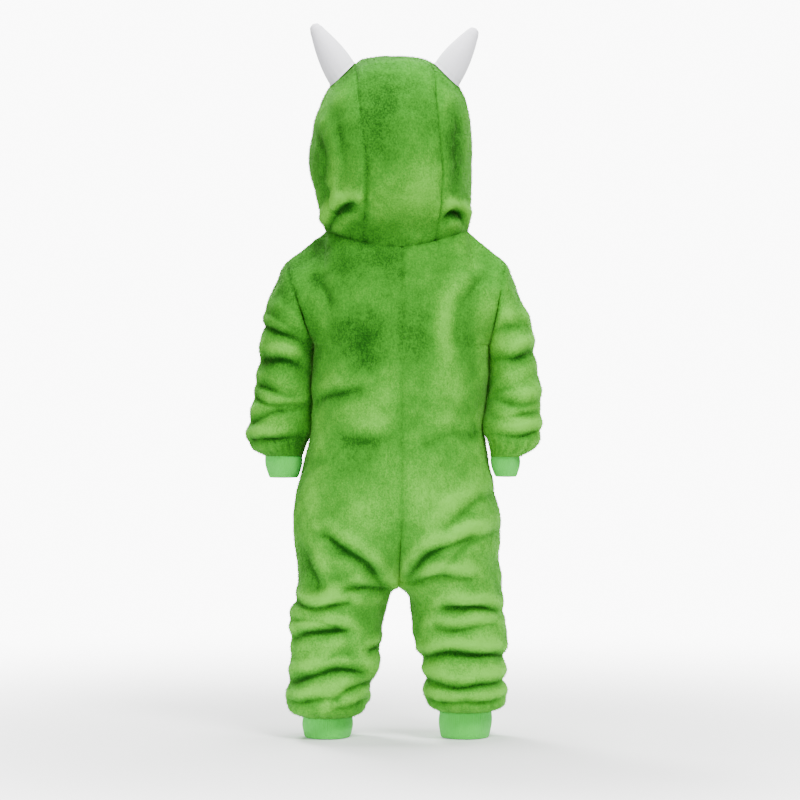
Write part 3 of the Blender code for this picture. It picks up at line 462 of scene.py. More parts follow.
NAP_AND_PAINTED_LIGHT_SHARE = 0.75
# Tone drifts lighter towards -X and darker upwards
TONE_DRIFT_ACROSS = -0.0009
TONE_DRIFT_UP = -0.0003

# Height where the seat's finer rows end, and how the yoke's corner at the neck is eased
SEAT_TOP = -318
YOKE_EASE = 9
YOKE_EDGE_SPREAD = 5.0
YOKE_CORNER = 3.0

# Seams: how far the cloth dips into each, over what width, and how unevenly
CENTRE_SEAM_DIP = 1.1
SIDE_SEAM_DIP = 1.3
SHOULDER_DIP = 1.3
INSEAM_DIP = 1.3
NECK_SEAM_DIP = 1.5
ARMHOLE_DIP = 1.8
STRIP_SEAM_DIP = 1.4
SEAM_REACH = 4.0
SEAM_UNEVENNESS = 0.25
SEAM_WOBBLE_SIZE = 11
# Seam allowances: their gap beneath the wall, their thickness, and how far they reach on both sides
ALLOWANCE_GAP = 0.1
ALLOWANCE_WALL = 0.7
ALLOWANCE_COLUMNS = 4
ALLOWANCE_REACH = 4.5
# Turned hem of the face opening
HEM_WIDTH = 9.0
HEM_DEPTH = 0.8
HEM_GROOVE_WIDTH = 1.6
HEM_EDGE = 0.7
HEM_EDGE_WIDTH = 1.2

# Softness of the cloth between its folds
WAVES = 9
LARGE_UNEVENNESS = 0.9
LARGE_SIZE = 70
SMALL_UNEVENNESS = 0.35
SMALL_SIZE = 19
# Shift in millimetres that gives the full painted shade of a crease, or the full painted light of a ridge,
# through the fold attribute
FOLD_RANGE = 5.0
GATHER_COUNT = 17
GATHER_DEPTH = 0.9
GATHER_REACH = 9.0
GATHER_TWIST = 2.5
GATHER_START = 4.0
ANKLE_MIDDLE = 82
SLEEVE_LENGTH = 190

# Cuffs' ribs
CUFF_RIBS = 72
RIB_COLUMNS = 4
CUFF_RIB_DEPTH = 0.22
CUFF_EDGE = 0.8
CUFF_ROWS = 12
CUFF_SWELL = 1.2

# Horns' sewing
HORN_PUCKER = 0.55
HORN_PUCKERS = 15
HORN_PUCKER_REACH = 5.0
HORN_SEAM = 0.7
HORN_BULGE = 0.6
HORN_TIP = 0.3
HORN_SHARP = 70
# The ring of the horn that its stitches follow
HORN_STITCH_ROW = 6

# Front zip
ZIP_TOP = -40
ZIP_BOTTOM = -322
ZIP_OPENING_HALF = 3.2
ZIP_END_EASE = 14
TAPE_HALF_WIDTH = 13
TEETH_GAP = 0.45
TEETH_WALL = 1.7
TAPE_STEPS = 10
TOOTH_PITCH = 2.0

# Stage, in metres: the floor is just under the ankle cuffs
FLOOR_HEIGHT = -0.5812
FLOOR_RADIUS = 1.6
WORLD_STRENGTH = 0.45
BACKGROUND_STRENGTH = 10.0
AIM = (0.0, 0.0, -0.2)
CAMERA_HEIGHT = -0.15
CAMERA_AIM = (0.0024, 0.0, -0.183)
# Columns: name, place, size and share of the light's power
LIGHTS = [
    ("key", (-1.1, 2.0, 2.2), 1.0, 1.0),
    ("fill", (1.9, 2.6, 0.5), 1.6, 0.38),
    ("top", (0.0, -0.1, 2.2), 1.0, 0.6),
    ("front_key", (1.1, -2.0, 2.2), 1.0, 1.0),
    ("front_fill", (-1.9, -2.6, 0.5), 1.6, 0.38),
]

# How much the folds, the broad patches and the grain of the pile change its tone. The folds' share is painted
# shade, darker in creases, seam grooves and hollows, and painted light, lighter on ridges.
FOLD_PAINTED_SHADING = 0.72
PATCH_TONE = 0.12
GRAIN_TONE = 0.4


# Shapes


def unit(vectors):
    """The same directions, each of length 1."""
    return vectors / np.linalg.norm(vectors, axis=-1, keepdims=True)


def normals_of(framed):
    """Normals of the inner points of a grid that has one more row and column on every side."""
    across = framed[1:-1, 2:] - framed[1:-1, :-2]
    up = framed[2:, 1:-1] - framed[:-2, 1:-1]
    return unit(np.cross(across, up))


def power(values, exponent):
    """A signed power, which squares off an oval."""
    return np.sign(values) * np.abs(values) ** exponent


def soft_step(values):
    """A smooth rise from 0 to 1 as the values go from 0 to 1."""
    part = np.clip(values, 0, 1)
    return part * part * (3 - 2 * part)


def wobble(points, size, seed):
    """A smooth uneven field, mostly between -1 and 1, over points in millimetres."""
    chance = np.random.default_rng(seed)
    field = np.zeros(points.shape[:-1])
    for _ in range(WAVES):
        direction = unit(chance.normal(size=3))
        wave = 2 * math.pi / (size * chance.uniform(0.7, 1.6))
        field += np.sin(points @ direction * wave + chance.uniform(0, 2 * math.pi))
    return field / math.sqrt(WAVES)


def fold_shift(folds, x, z):
    """How far out each point moves: a crease along each fold, with a soft ridge on both its sides."""
    shift = np.zeros(np.shape(x))
    for count, (x1, z1, x2, z2, bow, depth, half_width) in enumerate(folds):
        length = math.hypot(x2 - x1, z2 - z1)
        along = ((x - x1) * (x2 - x1) + (z - z1) * (z2 - z1)) / length**2
        across = ((z - z1) * abs(x2 - x1) - (x - x1) * (z2 - z1) * np.sign(x2 - x1 + 1e-9)) / length
        inside = np.clip(along, 0, 1)
        across = across - 4 * bow * inside * (1 - inside)
        across = across - FOLD_WANDER * np.sin(along * length / 9 + 2.3 * count)
        off = np.hypot(across, (along - inside) * length) / half_width
        crease = CORE_SHARE * np.exp(-((off / CREASE_CORE) ** 2)) + (1 - CORE_SHARE) * np.exp(-(off**2))
        upper = soft_step(0.5 + across / half_width)
        ridges = []
        for share, place, width in (RIDGE_ABOVE, RIDGE_BELOW):
            ridges.append(share * np.exp(-(((off - place) / width) ** 2)))
        taper = 1 - 0.4 * np.abs(2 * inside - 1) ** 3
        shift += depth * taper * (upper * ridges[0] + (1 - upper) * ridges[1] - crease)
    return shift


def front_of(folds):
    """The same folds passed round to the front: their ends at the side stay, and they slope the other way."""
    turned = []
    for x1, z1, x2, z2, bow, depth, half_width in folds:
        if abs(x1) >= abs(x2):
            turned.append((x1, z1, x2, z1 + FRONT_SLOPE * (z2 - z1), -bow, depth, half_width))
        else:
            turned.append((x1, z2 + FRONT_SLOPE * (z1 - z2), x2, z2, -bow, depth, half_width))
    return turned


def two_face_shift(back_folds, front_folds, x, z, backness):
    """Folds of back and front, run together at the sides. Backness is 1 at the back and -1 at the front."""
    share = soft_step(0.5 + backness)
    return share * fold_shift(back_folds, x, z) + (1 - share) * fold_shift(front_folds, x, z)


def nap_and_painted_light_tone(points):
    """How much lighter the pile is painted at each point, for its nap and as painted shade and light: patches
    behind, and the same ones turned in front.
    """
    x, y, z = np.moveaxis(points, -1, 0)
    turned = np.where(y < 0, -x, x)
    tone = TONE_DRIFT_ACROSS * x + TONE_DRIFT_UP * (z + 150)
    for middle_x, middle_z, half_width, half_height, lighter in NAP_AND_PAINTED_LIGHT_PATCHES:
        off = ((turned - middle_x) / half_width) ** 2 + ((z - middle_z) / half_height) ** 2
        tone = tone + NAP_AND_PAINTED_LIGHT_SHARE * lighter * np.exp(-off)
    return tone


def edge_ways(points):
    """Millimetres along the cloth from each point to the first and last column and the first and last row."""
    across = np.cumsum(np.linalg.norm(np.diff(points, axis=1), axis=-1), axis=1)
    across = np.concatenate([np.zeros((len(points), 1)), across], axis=1)
    up = np.cumsum(np.linalg.norm(np.diff(points, axis=0), axis=-1), axis=0)
    up = np.concatenate([np.zeros((1, points.shape[1])), up], axis=0)
    back = across[:, -1:] - across
    return {"first_column": across, "last_column": back, "first_row": up, "last_row": up[-1:] - up}


def seam_dip(points, ways, edges):
    """How far the cloth dips into the seams along the named edges, unevenly, as sewing draws it in."""
    dip = np.zeros(points.shape[:2])
    draw = 1 + SEAM_UNEVENNESS * wobble(points, SEAM_WOBBLE_SIZE, 5)
    for edge, depth in edges.items():
        dip = np.maximum(dip, depth * np.exp(-((ways[edge] / SEAM_REACH) ** 1.5)) * draw)
    return dip


def hood_oval(height):
    """Middle, half width, back depth and front depth of the hood at a height."""
    return tuple(HOOD.at(name, height) for name in ("middle_x", "half_width", "back_depth", "front_depth"))


def neck_ring(angle):
    """Points of the neck seam. The angle is 0 at the centre back and 90 degrees at the left shoulder."""
    sine = np.sin(angle)
    cosine = np.cos(angle)
    back = NECK_BACK_HEIGHT + (NECK_SIDE_HEIGHT - NECK_BACK_HEIGHT) * np.abs(sine) ** NECK_BACK_RISE
    front = NECK_FRONT_HEIGHT + (NECK_SIDE_HEIGHT - NECK_FRONT_HEIGHT) * np.abs(sine) ** NECK_FRONT_RISE
    height = np.where(cosine >= 0, back, front)
    middle, half_width, back_depth, front_depth = hood_oval(height)
    x = middle + half_width * power(sine, 2 / HOOD_POWER)
    y = np.where(cosine >= 0, back_depth, front_depth) * power(cosine, 2 / HOOD_POWER)
    return np.stack([x, y, height], axis=-1)


def neck_angle(x, face):
    """The neck seam's angle at an x near the middle, on the back or the front."""
    middle, half_width = hood_oval(NECK_FRONT_HEIGHT)[:2]
    angle = math.asin(float(power((x - middle) / half_width, HOOD_POWER / 2)))
    return angle if face == BACK else math.pi - angle


# Body: each half of the back and the front is cut in one from the neck to the ankle


def half_section(side, height):
    """Outer x, inner x, start angle, half depth and middle y of one half of the body at each height."""
    crotch = TORSO.table[0, 0]
    torso = height >= crotch
    name = SIDE_NAMES[side] + "_outer"
    leg = LEGS[side]
    outer = np.where(torso, TORSO.at(name, height), leg.at("outer", height))
    inner = np.where(torso, TORSO.at("seam", height) * side, leg.at("inner", height))
    start = np.where(torso, TORSO.at("start_angle", height), -90.0)
    half_depth = np.where(torso, TORSO.at("half_depth", height), leg.at("half_depth", height))
    middle = np.where(torso, TORSO.at("middle_y", height), leg.at("middle_y", height))
    return outer, inner, np.radians(start), half_depth, middle


def half_body_points(side, face, height, share):
    """Points of one half at each height, and how far each lies to the back.

    The share runs from 0 at the centre to 1 at the side.
    """
    outer, inner, start, half_depth, middle = (np.asarray(v)[:, None] for v in half_section(side, height))
    angle = start + share[None, :] * (math.pi / 2 - start)
    exponent = 2 / BODY_POWER
    half_width = (outer - inner) / (1 - power(np.sin(start), exponent))
    x = outer - half_width + half_width * power(np.sin(angle), exponent)
    backness = face * power(np.cos(angle), exponent)
    y = middle + half_depth * backness
    z = np.broadcast_to(np.asarray(height)[:, None], x.shape)
    return np.stack([side * x, y, z], axis=-1), backness


def yoke_top(side, face):
    """The top edge of a half: along the neck seam, then along the shoulder seam."""
    start = neck_angle(0.0, face)
    end = side * math.pi / 2 if face == BACK or side == LEFT else 3 * math.pi / 2
    neck = neck_ring(np.linspace(start, end, NECK_COLUMNS + 1))
    tip_x, tip_z = SHOULDER_TIP[side]
    tip = np.array([side * tip_x, 0.0, tip_z])
    part = np.linspace(0, 1, BODY_COLUMNS - NECK_COLUMNS + 1)[1:, None]
    return np.concatenate([neck, neck[-1] + part * (tip - neck[-1])])


def eased(line, reach):
    """A line of points with its corners eased over so many points each way, its ends kept."""
    before = 2 * line[:1] - line[reach:0:-1]
    after = 2 * line[-1:] - line[-2 : -reach - 2 : -1]
    padded = np.concatenate([before, line, after])
    weights = np.hanning(2 * reach + 3)[1:-1]
    weights = weights / weights.sum()
    return np.stack([np.convolve(padded[:, axis], weights, mode="valid") for axis in range(3)], axis=-1)


def yoke_points(side, face, turn):
    """Rows from the underarm to the top edge, by a turn from 0 at the underarm to 180 degrees at the top."""
    share = np.linspace(0, 1, BODY_COLUMNS + 1)
    base, _ = half_body_points(side, face, np.array([UNDERARM_HEIGHT]), share)
    top = yoke_top(side, face)
    rise = ((1 - np.cos(turn)) / 2)[:, None]
    corner = rise[..., None] ** YOKE_CORNER
    top = eased(top, YOKE_EASE) * (1 - corner) + top * corner
    drop = 1 - rise**YOKE_CURVE
    x = base[0, :, 0] * (1 - rise) + top[..., 0] * rise
    z = base[0, :, 2] * (1 - rise) + top[..., 2] * rise
    y = base[0, :, 1] * drop + top[..., 1] * (1 - drop)
    swing = np.sin(turn)[:, None]
    hem = share**YOKE_EDGE_SPREAD
    y = y + face * ARMHOLE_HALF_DEPTH * (hem * swing + (share**YOKE_SPREAD - hem) * swing**3)
    return np.stack([x, y, z], axis=-1)


def panel_heights(side):
    """Heights of the rows below the underarm, from the ankle up."""
    crotch = TORSO.table[0, 0]
    ankle = LEGS[side].table[0, 0]
    leg = np.linspace(ankle, crotch, LEG_ROWS)
    seat = np.linspace(crotch, SEAT_TOP, SEAT_ROWS)[1:]
    torso = np.linspace(SEAT_TOP, UNDERARM_HEIGHT, TORSO_ROWS)[1:]
    return np.concatenate([leg, seat, torso])


def framed_body(side, face):
    """A half's grid with a row and a column more on every side, for its normals, and its backness."""
    step = 1 / BODY_COLUMNS
    share = np.linspace(-step, 1 + step, BODY_COLUMNS + 3)
    lower, backness = half_body_points(side, face, panel_heights(side), share)
    below = lower[:1] + (lower[:1] - lower[1:2])
    turn = np.linspace(0, math.pi, YOKE_ROWS + 1)[1:]
    yoke = yoke_points(side, face, turn)
    seam = 2 * yoke[:, :1] - yoke[:, 1:2]
    seam[..., 1:] = yoke[:, 1:2, 1:]
    armhole = 2 * yoke[:, -1:] - yoke[:, -2:-1]
    yoke = np.concatenate([seam, yoke, armhole], axis=1)
    above = 2 * yoke[-1:] - yoke[-2:-1]
    shoulder = slice(NECK_COLUMNS + 1, None)
    above[0, shoulder] = yoke[-2, shoulder] * (1, -1, 1)
    flat = np.concatenate([backness, np.full(yoke.shape[:2], float(face))])
    return np.concatenate([below, lower, yoke, above]), flat[:, 1:-1]


def zip_pull_back(height):
    """How far a front edge stands back from the centre for the teeth, easing to nothing below the zip."""
    return ZIP_OPENING_HALF * soft_step((height - ZIP_BOTTOM + ZIP_END_EASE) / ZIP_END_EASE)


def outward(points):
    """Level directions out from the middle of the neck."""
    middle = hood_oval(NECK_SIDE_HEIGHT)[0]
    return unit((points - (middle, 0, 0)) * (1, 1, 0))


def gathers(turn, way, side):
    """Small puckers round a tube, by the distance from where it is drawn into its cuff."""
    wave = np.sin(GATHER_COUNT * turn + GATHER_TWIST * np.sin(3 * turn + side))
    return GATHER_DEPTH * wave * np.exp(-way / GATHER_REACH) * soft_step(way / GATHER_START)


@functools.cache
def body_panel(side, face):
    """The outer points, base normals and outward shift of one half of the back or the front."""
    framed, backness = framed_body(side, face)
    points = framed[1:-1, 1:-1].copy()
    normals = normals_of(framed)
    normals *= np.sign((normals[..., 1] * face).mean())
    front_folds = FRONT_TORSO_FOLDS + front_of(BODY_BACK_FOLDS[LEG_FOLDS_START:])
    shift = two_face_shift(BODY_BACK_FOLDS, front_folds, points[..., 0], points[..., 2], backness)
    shift = shift + unevenness(points)
    above = points[..., 2] - LEGS[side].table[0, 0]
    turn = np.arctan2(points[..., 1], points[..., 0] - side * ANKLE_MIDDLE)
    shift = shift * soft_step(above / ANKLE_FADE) + gathers(turn, above, side)
    ways = edge_ways(points)
    neck = np.arange(BODY_COLUMNS + 1) <= NECK_COLUMNS
    beside = SIDE_SEAM_DIP * soft_step(np.abs(points[..., 2] - UNDERARM_HEIGHT) / UNDERARM_FADE)
    seams = {"first_column": CENTRE_SEAM_DIP, "last_column": beside, "last_row": SHOULDER_DIP * ~neck}
    if face == FRONT:
        seams["first_column"] = INSEAM_DIP * (points[..., 2] < ZIP_BOTTOM)
    dip = seam_dip(points, ways, seams)
    drawn = seam_dip(points, ways, {"last_row": NECK_SEAM_DIP * neck})
    shift = shift * soft_step(0.2 + ways["last_row"] / 8)
    moved = points + normals * (shift - dip)[..., None] - outward(points) * drawn[..., None]
    shift = shift - drawn
    seam = TORSO.at("seam", moved[..., 2])
    moved[..., 0] = seam + side * np.maximum(side * (moved[..., 0] - seam), 0)
    moved = moved + np.array([side, face, 0]) * SEAM_GAP / 2
    moved[-1, : NECK_COLUMNS + 1, 2] -= NECK_DROP
    if face == FRONT:
        share = np.linspace(0, 1, BODY_COLUMNS + 1)
        room = zip_pull_back(moved[..., 2]) * (moved[..., 2] > TORSO.table[0, 0])
        moved[..., 0] += side * room * (1 - share) ** 2
    return moved, normals, shift - dip


def body_reach(side, heights):
    """How far out from the middle the body comes at each height."""
    rows = [body_panel(side, face)[0] for face in (BACK, FRONT)]
    out = np.maximum(*((side * points[..., 0]).max(axis=1) for points in rows))
    return np.interp(heights, rows[0][:, -1, 2], out)


def unevenness(points):
    """The slight unevenness of soft cloth over a body, large and small."""
    large = LARGE_UNEVENNESS * wobble(points, LARGE_SIZE, 1)
    return large + SMALL_UNEVENNESS * wobble(points, SMALL_SIZE, 2)


# Sleeves


def sleeve_surface(side):
    """Rings of a sleeve from the armhole to the wrist: outer points, base normals and outward shift."""
    table = SLEEVES[side]
    along = np.linspace(0, 1, SLEEVE_ROWS)
    column = {name: table.at(name, along)[:, None] for name in SLEEVE_COLUMN_NAMES}
    angle = np.linspace(0, 2 * math.pi, SLEEVE_COLUMNS, endpoint=False)[None, :]
    reach = (1 + np.cos(angle)) / 2
    x = column["inner_x"] + (column["outer_x"] - column["inner_x"]) * reach
    z = column["inner_z"] + (column["outer_z"] - column["inner_z"]) * reach
    y = column["middle_y"] + column["half_depth"] * np.sin(angle)
    points = np.stack([side * x, y, z], axis=-1)
    framed = np.concatenate([points[:, -1:], points, points[:, :1]], axis=1)
    framed = np.concatenate([2 * framed[:1] - framed[1:2], framed, 2 * framed[-1:] - framed[-2:-1]])
    normals = normals_of(framed)
    centres = points.mean(axis=1, keepdims=True)
    normals *= np.sign((normals * (points - centres)).sum(axis=-1).mean())
    folds = SLEEVE_BACK_FOLDS[side]
    backness = np.broadcast_to(np.sin(angle), x.shape)
    shift = two_face_shift(folds, front_of(folds), points[..., 0], points[..., 2], backness)
    shift = shift * soft_step(0.15 + 1.2 * reach) + unevenness(points)
    ends = soft_step(along / 0.12)[:, None] * soft_step((1 - along) / 0.04)[:, None]
    shift = shift * ends
    shift = shift + gathers(angle, (1 - along)[:, None] * SLEEVE_LENGTH, side)
    ways = edge_ways(points)
    dip = seam_dip(points, ways, {"first_row": ARMHOLE_DIP * soft_step(1.4 * reach)})
    moved = points + normals * (shift - dip)[..., None]
    room = (side * moved[..., 0] - body_reach(side, moved[..., 2])).min(axis=1, keepdims=True)
    ends = soft_step(along / 0.03)[:, None] * soft_step((1 - along) / 0.1)[:, None]
    moved[..., 0] -= side * ends * (1 - reach) ** 3 * np.clip(room + TOUCH_PRESS, 0, TOUCH_MOST)
    return moved, normals, shift - dip


def sleeve_wall(side):
    """Outer and inner points of a sleeve, whose two end edges lie square across it."""
    points, normals, shift = sleeve_surface(side)
    outward = unit(points - points.mean(axis=1, keepdims=True))
    along = np.linspace(0, 1, SLEEVE_ROWS)[:, None, None]
    share = soft_step(along / 0.1) * soft_step((1 - along) / 0.06)
    normals = unit(outward * (1 - share) + normals * share)
    return points, points - normals * PLUSH_WALL, shift


# Cuffs


def cuff_wall(name):
    """Outer and inner points of a knitted tube, folded at its end, with a rib's rise and fall round it."""
    side, values = CUFFS[name]
    field = dict(zip(CUFF_FIELDS, values))
    angle = np.linspace(0, 2 * math.pi, CUFF_RIBS * RIB_COLUMNS, endpoint=False)
    rib = CUFF_RIB_DEPTH * (np.cos(angle * CUFF_RIBS) - 1)
    outer = []
    inner = []
    for part in np.linspace(0, 1, CUFF_ROWS):
        inner_x = field["top_inner"] + part * (field["bottom_inner"] - field["top_inner"])
        outer_x = field["top_outer"] + part * (field["bottom_outer"] - field["top_outer"])
        depth = field["depths"][0] + part * (field["depths"][1] - field["depths"][0])
        height = field["top"] + part * (field["bottom"] - field["top"])
        swell = CUFF_SWELL * math.sin(math.pi * part) + 0.5 * np.sin(2 * angle + 5 * part)
        turned = CUFF_EDGE * (soft_step((part - 0.9) / 0.1) ** 2)
        for wall, rows in ((rib - turned, outer), (-CUFF_WALL + turned, inner)):
            x = side * ((inner_x + outer_x) / 2 + ((outer_x - inner_x) / 2 + swell + wall) * np.cos(angle))
            y = field["middle_y"] + (depth + swell + wall) * np.sin(angle)
            rows.append(np.stack([x, y, np.full_like(x, height)], axis=-1))
    return np.array(outer), np.array(inner)


# Hood


def crown_rise(height):
    """0 up to the crown's base, then rising to 1 at its top."""
    return np.clip((height - CROWN_BASE) / (CROWN_TOP - CROWN_BASE), 0, None)


def hood_value(points):
    """Below 0 inside the hood's form and above 0 outside it."""
    x, y, z = np.moveaxis(points, -1, 0)
    middle, half_width, back_depth, front_depth = hood_oval(z)
    depth = np.where(y >= 0, back_depth, front_depth)
    oval = (np.abs(x - middle) / half_width) ** HOOD_POWER + (np.abs(y) / depth) ** HOOD_POWER
    return oval ** (CROWN_POWER / HOOD_POWER) + crown_rise(z) ** CROWN_POWER - 1


def onto_hood(starts, directions):
    """Where lines from points inside the hood's form reach its surface."""
    near = np.zeros(starts.shape[:-1])
    far = np.full(starts.shape[:-1], 400.0)
    for _ in range(40):
        middle = (near + far) / 2
        inside = hood_value(starts + directions * middle[..., None]) < 0
        near = np.where(inside, middle, near)
        far = np.where(inside, far, middle)
    return starts + directions * far[..., None]


def hood_normals(points):
    """Outward normals of the hood's form."""
    step = 0.05
    slopes = [hood_value(points + step * axis) - hood_value(points - step * axis) for axis in np.eye(3)]
    return unit(np.stack(slopes, axis=-1))


def strip_points(x_shares, along):
    """Points of the centre strip: across it by share, and along it from the neck to the forehead."""
    centre_y, centre_z = HOOD_CENTRE[1:]
    grid = np.zeros((len(along), len(x_shares), 3))
    for row, way in enumerate(along):
        left = float(STRIP.at("left", way))
        right = float(STRIP.at("right", way))
        for column, share in enumerate(x_shares):
            x = left + share * (right - left)
            neck = neck_ring(np.array(neck_angle(x, BACK)))
            low = math.atan2(neck[2] - centre_z, neck[1] - centre_y)
            high = math.atan2(FOREHEAD_HEIGHT - centre_z, -front_reach(x, FOREHEAD_HEIGHT))
            turn = low + way * (high - low)
            grid[row, column] = (x, turn, 0)
    shape = grid.shape[:2]
    starts = np.stack([grid[..., 0], np.full(shape, centre_y), np.full(shape, centre_z)], axis=-1)
    directions = np.stack([np.zeros(shape), np.cos(grid[..., 1]), np.sin(grid[..., 1])], axis=-1)
    return onto_hood(starts, directions)


def front_reach(x, height):
    """How far forward the hood's form is at an x and a height."""
    middle, half_width, _, front_depth = hood_oval(height)
    room = (1 - crown_rise(height) ** CROWN_POWER) ** (HOOD_POWER / CROWN_POWER)
    return front_depth * (room - (np.abs(x - middle) / half_width) ** HOOD_POWER) ** (1 / HOOD_POWER)


def face_edge(side, part):
    """The edge of the face opening on one side, from the chin to the centre strip's corner."""
    corner = strip_points([0.0 if side == LEFT else 1.0], [1.0])[0, 0]
    height = NECK_FRONT_HEIGHT + part * (FOREHEAD_HEIGHT - NECK_FRONT_HEIGHT)
    chin = side * CHIN_HALF_GAP
    x = side * FACE.at("half_width", height)
    x = x + (chin - x[0]) * (1 - part) ** 6 + (corner[0] - x[-1]) * part**6
    return np.stack([x, -front_reach(x, height), height], axis=-1)


def hood_side_points(side):
    """A four-sided patch between the neck, the centre strip and the face opening, laid on the hood's form."""
    column = [0.0 if side == LEFT else 1.0]
    rise = np.linspace(0, 1, HOOD_SIDE_ROWS)
    run = np.linspace(0, 1, HOOD_SIDE_COLUMNS)
    back_edge = strip_points(column, rise * STRIP_CROWN_PART)[:, 0]
    top_edge = strip_points(column, STRIP_CROWN_PART + run * (1 - STRIP_CROWN_PART))[:, 0]
    front_edge = face_edge(side, rise)
    start = neck_angle(back_edge[0, 0], BACK)
    end = neck_angle(side * CHIN_HALF_GAP, FRONT)
    end = end if side == LEFT else end - 2 * math.pi
    bottom_edge = neck_ring(start + run * (end - start))
    u = run[None, :, None]
    v = rise[:, None, None]
    flat = (1 - v) * bottom_edge + v * top_edge + (1 - u) * back_edge[:, None] + u * front_edge[:, None]
    corners = (1 - u) * (1 - v) * bottom_edge[0] + u * (1 - v) * bottom_edge[-1]
    corners = corners + (1 - u) * v * top_edge[0] + u * v * top_edge[-1]
    centre = np.array(HOOD_CENTRE)
    directions = unit(flat - corners - centre)
    return onto_hood(np.broadcast_to(centre, directions.shape).copy(), directions)


def hood_shift(points, seams):
    """The hood's folds on its back half, its unevenness and its seams, as an outward shift."""
    ways = edge_ways(points)
    folds = fold_shift(HOOD_FOLDS, points[..., 0], points[..., 2])
    shift = folds * soft_step(points[..., 1] / HOOD_FOLD_FADE) + unevenness(points)
    inside = np.minimum(ways["first_row"], np.minimum(ways["first_column"], ways["last_row"]))
    shift = shift * soft_step(inside / HOOD_EDGE_FADE)
    return shift - seam_dip(points, ways, seams), seam_dip(points, ways, {"first_row": NECK_SEAM_DIP})


def hem_groove(way):
    """The sewn line of a turned hem, and the hem's rounded edge."""
    sewn = HEM_DEPTH * np.exp(-(((way - HEM_WIDTH) / HEM_GROOVE_WIDTH) ** 2))
    return sewn + HEM_EDGE * np.exp(-((way / HEM_EDGE_WIDTH) ** 2))


def inset_edges(points, gap):
    """A grid with its edges drawn in along the surface by half a seam's gap."""
    moved = points.copy()
    for edge, beside in ((0, 1), (-1, -2)):
        moved[edge] += unit(points[beside] - points[edge]) * gap / 2
        moved[:, edge] += unit(points[:, beside] - points[:, edge]) * gap / 2
    return moved


@functools.cache
def hood_wall(name):
    """Outer and inner points of one of the hood's three pieces."""
    strip_seams = {"first_column": STRIP_SEAM_DIP, "last_column": STRIP_SEAM_DIP}
    side_seams = {"first_column": STRIP_SEAM_DIP, "last_row": STRIP_SEAM_DIP}
    if name == "hood_center":
        back = np.linspace(0, STRIP_CROWN_PART, HOOD_SIDE_ROWS)
        top = np.linspace(STRIP_CROWN_PART, 1, HOOD_SIDE_COLUMNS)[1:]
        points = strip_points(np.linspace(0, 1, STRIP_COLUMNS), np.concatenate([back, top]))
        hem = edge_ways(points)["last_row"]
        shift, drawn = hood_shift(points, strip_seams)
    else:
        points = hood_side_points(LEFT if name.endswith("left") else RIGHT)
        hem = edge_ways(points)["last_column"]
        shift, drawn = hood_shift(points, side_seams)
    shift = shift - hem_groove(hem)
    normals = hood_normals(points)
    points = points + normals * shift[..., None] - outward(points) * drawn[..., None]
    points = inset_edges(points, SEAM_GAP)
    return points, points - normals * PLUSH_WALL, shift - drawn


# Horns


def horn_rows(side):
    """The rings of a stuffed horn from the middle of its base to its tip, puckered where it is sewn on."""
    base, tip = np.array(HORNS[side][:3]), np.array(HORNS[side][3:])
    axis = unit(tip - base)
    across = unit(np.cross(axis, (0.0, 1.0, 0.0)))
    depth = np.cross(across, axis)
    angle = np.linspace(0, 2 * math.pi, HORN_COLUMNS, endpoint=False)[:, None]
    ring = np.cos(angle) * across + np.sin(angle) * depth
    inside = base - axis * HORN_ROOT
    rows = []
    for share in (0.25, 0.5, 0.75, 0.92, 1.0):
        starts = inside + ring * HORN_BASE_RADIUS * share
        rows.append(onto_hood(starts, np.broadcast_to(axis, starts.shape)) + axis * HORN_SEAT_GAP)
    rim = rows[-1]
    length = np.linalg.norm(tip - base)
    for part in (1 - (1 - np.linspace(0, 1, HORN_ROWS)) ** 1.5)[1:]:
        way = part * length
        wave = 1 + np.cos(HORN_PUCKERS * angle + np.sin(2 * angle))
        drawn = HORN_PUCKER * np.exp(-way / HORN_PUCKER_REACH) * wave
        sewn = HORN_SEAM * np.exp(-((np.sin(angle) * HORN_BASE_RADIUS / 2.2) ** 2)) * (1 - part)
        bulge = HORN_BULGE * math.sin(math.pi * min(part * 1.25, 1.0))
        radius = HORN_BASE_RADIUS * float(HORN_PROFILE.at("radius", part)) + bulge - drawn - sewn
        level = base + (tip - base) * part + ring * np.maximum(radius, 0.3)
        rows.append(level + axis * ((rim - base) @ axis)[:, None] * (1 - part) ** 3)
    return np.array(rows), axis


# Zip


def front_line(side, x):
    """Points and normals down a front panel's surface at an x near the centre, along the zip."""
    points, normals, _ = body_panel(side, FRONT)
    rows = (points[:, 0, 2] > ZIP_BOTTOM) & (points[:, 0, 2] < ZIP_TOP)
    line = []
    for row in points[rows]:
        reach = side * row[:30, 0]
        line.append([x] + [np.interp(side * x, reach, row[:30, axis]) for axis in (1, 2)])
    return np.array(line), unit(normals[rows, 0] * (0, 1, 1))


def zip_strip(side, shares, out, wall):
    """Outer and inner points of a tape beside the centre front, its face so far out from the panel."""
    outer = []
    inner = []
    for share in shares:
        points, normals = front_line(side, side * (SEAM_GAP / 2 + share * (TAPE_HALF_WIDTH - SEAM_GAP / 2)))
        outer.append(points + normals * out)
        inner.append(points + normals * (out - wall))
    return np.stack(outer, axis=1), np.stack(inner, axis=1)


# Seam allowances


def allowance(points, normals):
    """A thin strip of cloth inside a seam: outer points beneath the wall, inner ones so much deeper."""
    depth = PLUSH_WALL + ALLOWANCE_GAP
    return points - normals * depth, points - normals * (depth + ALLOWANCE_WALL)


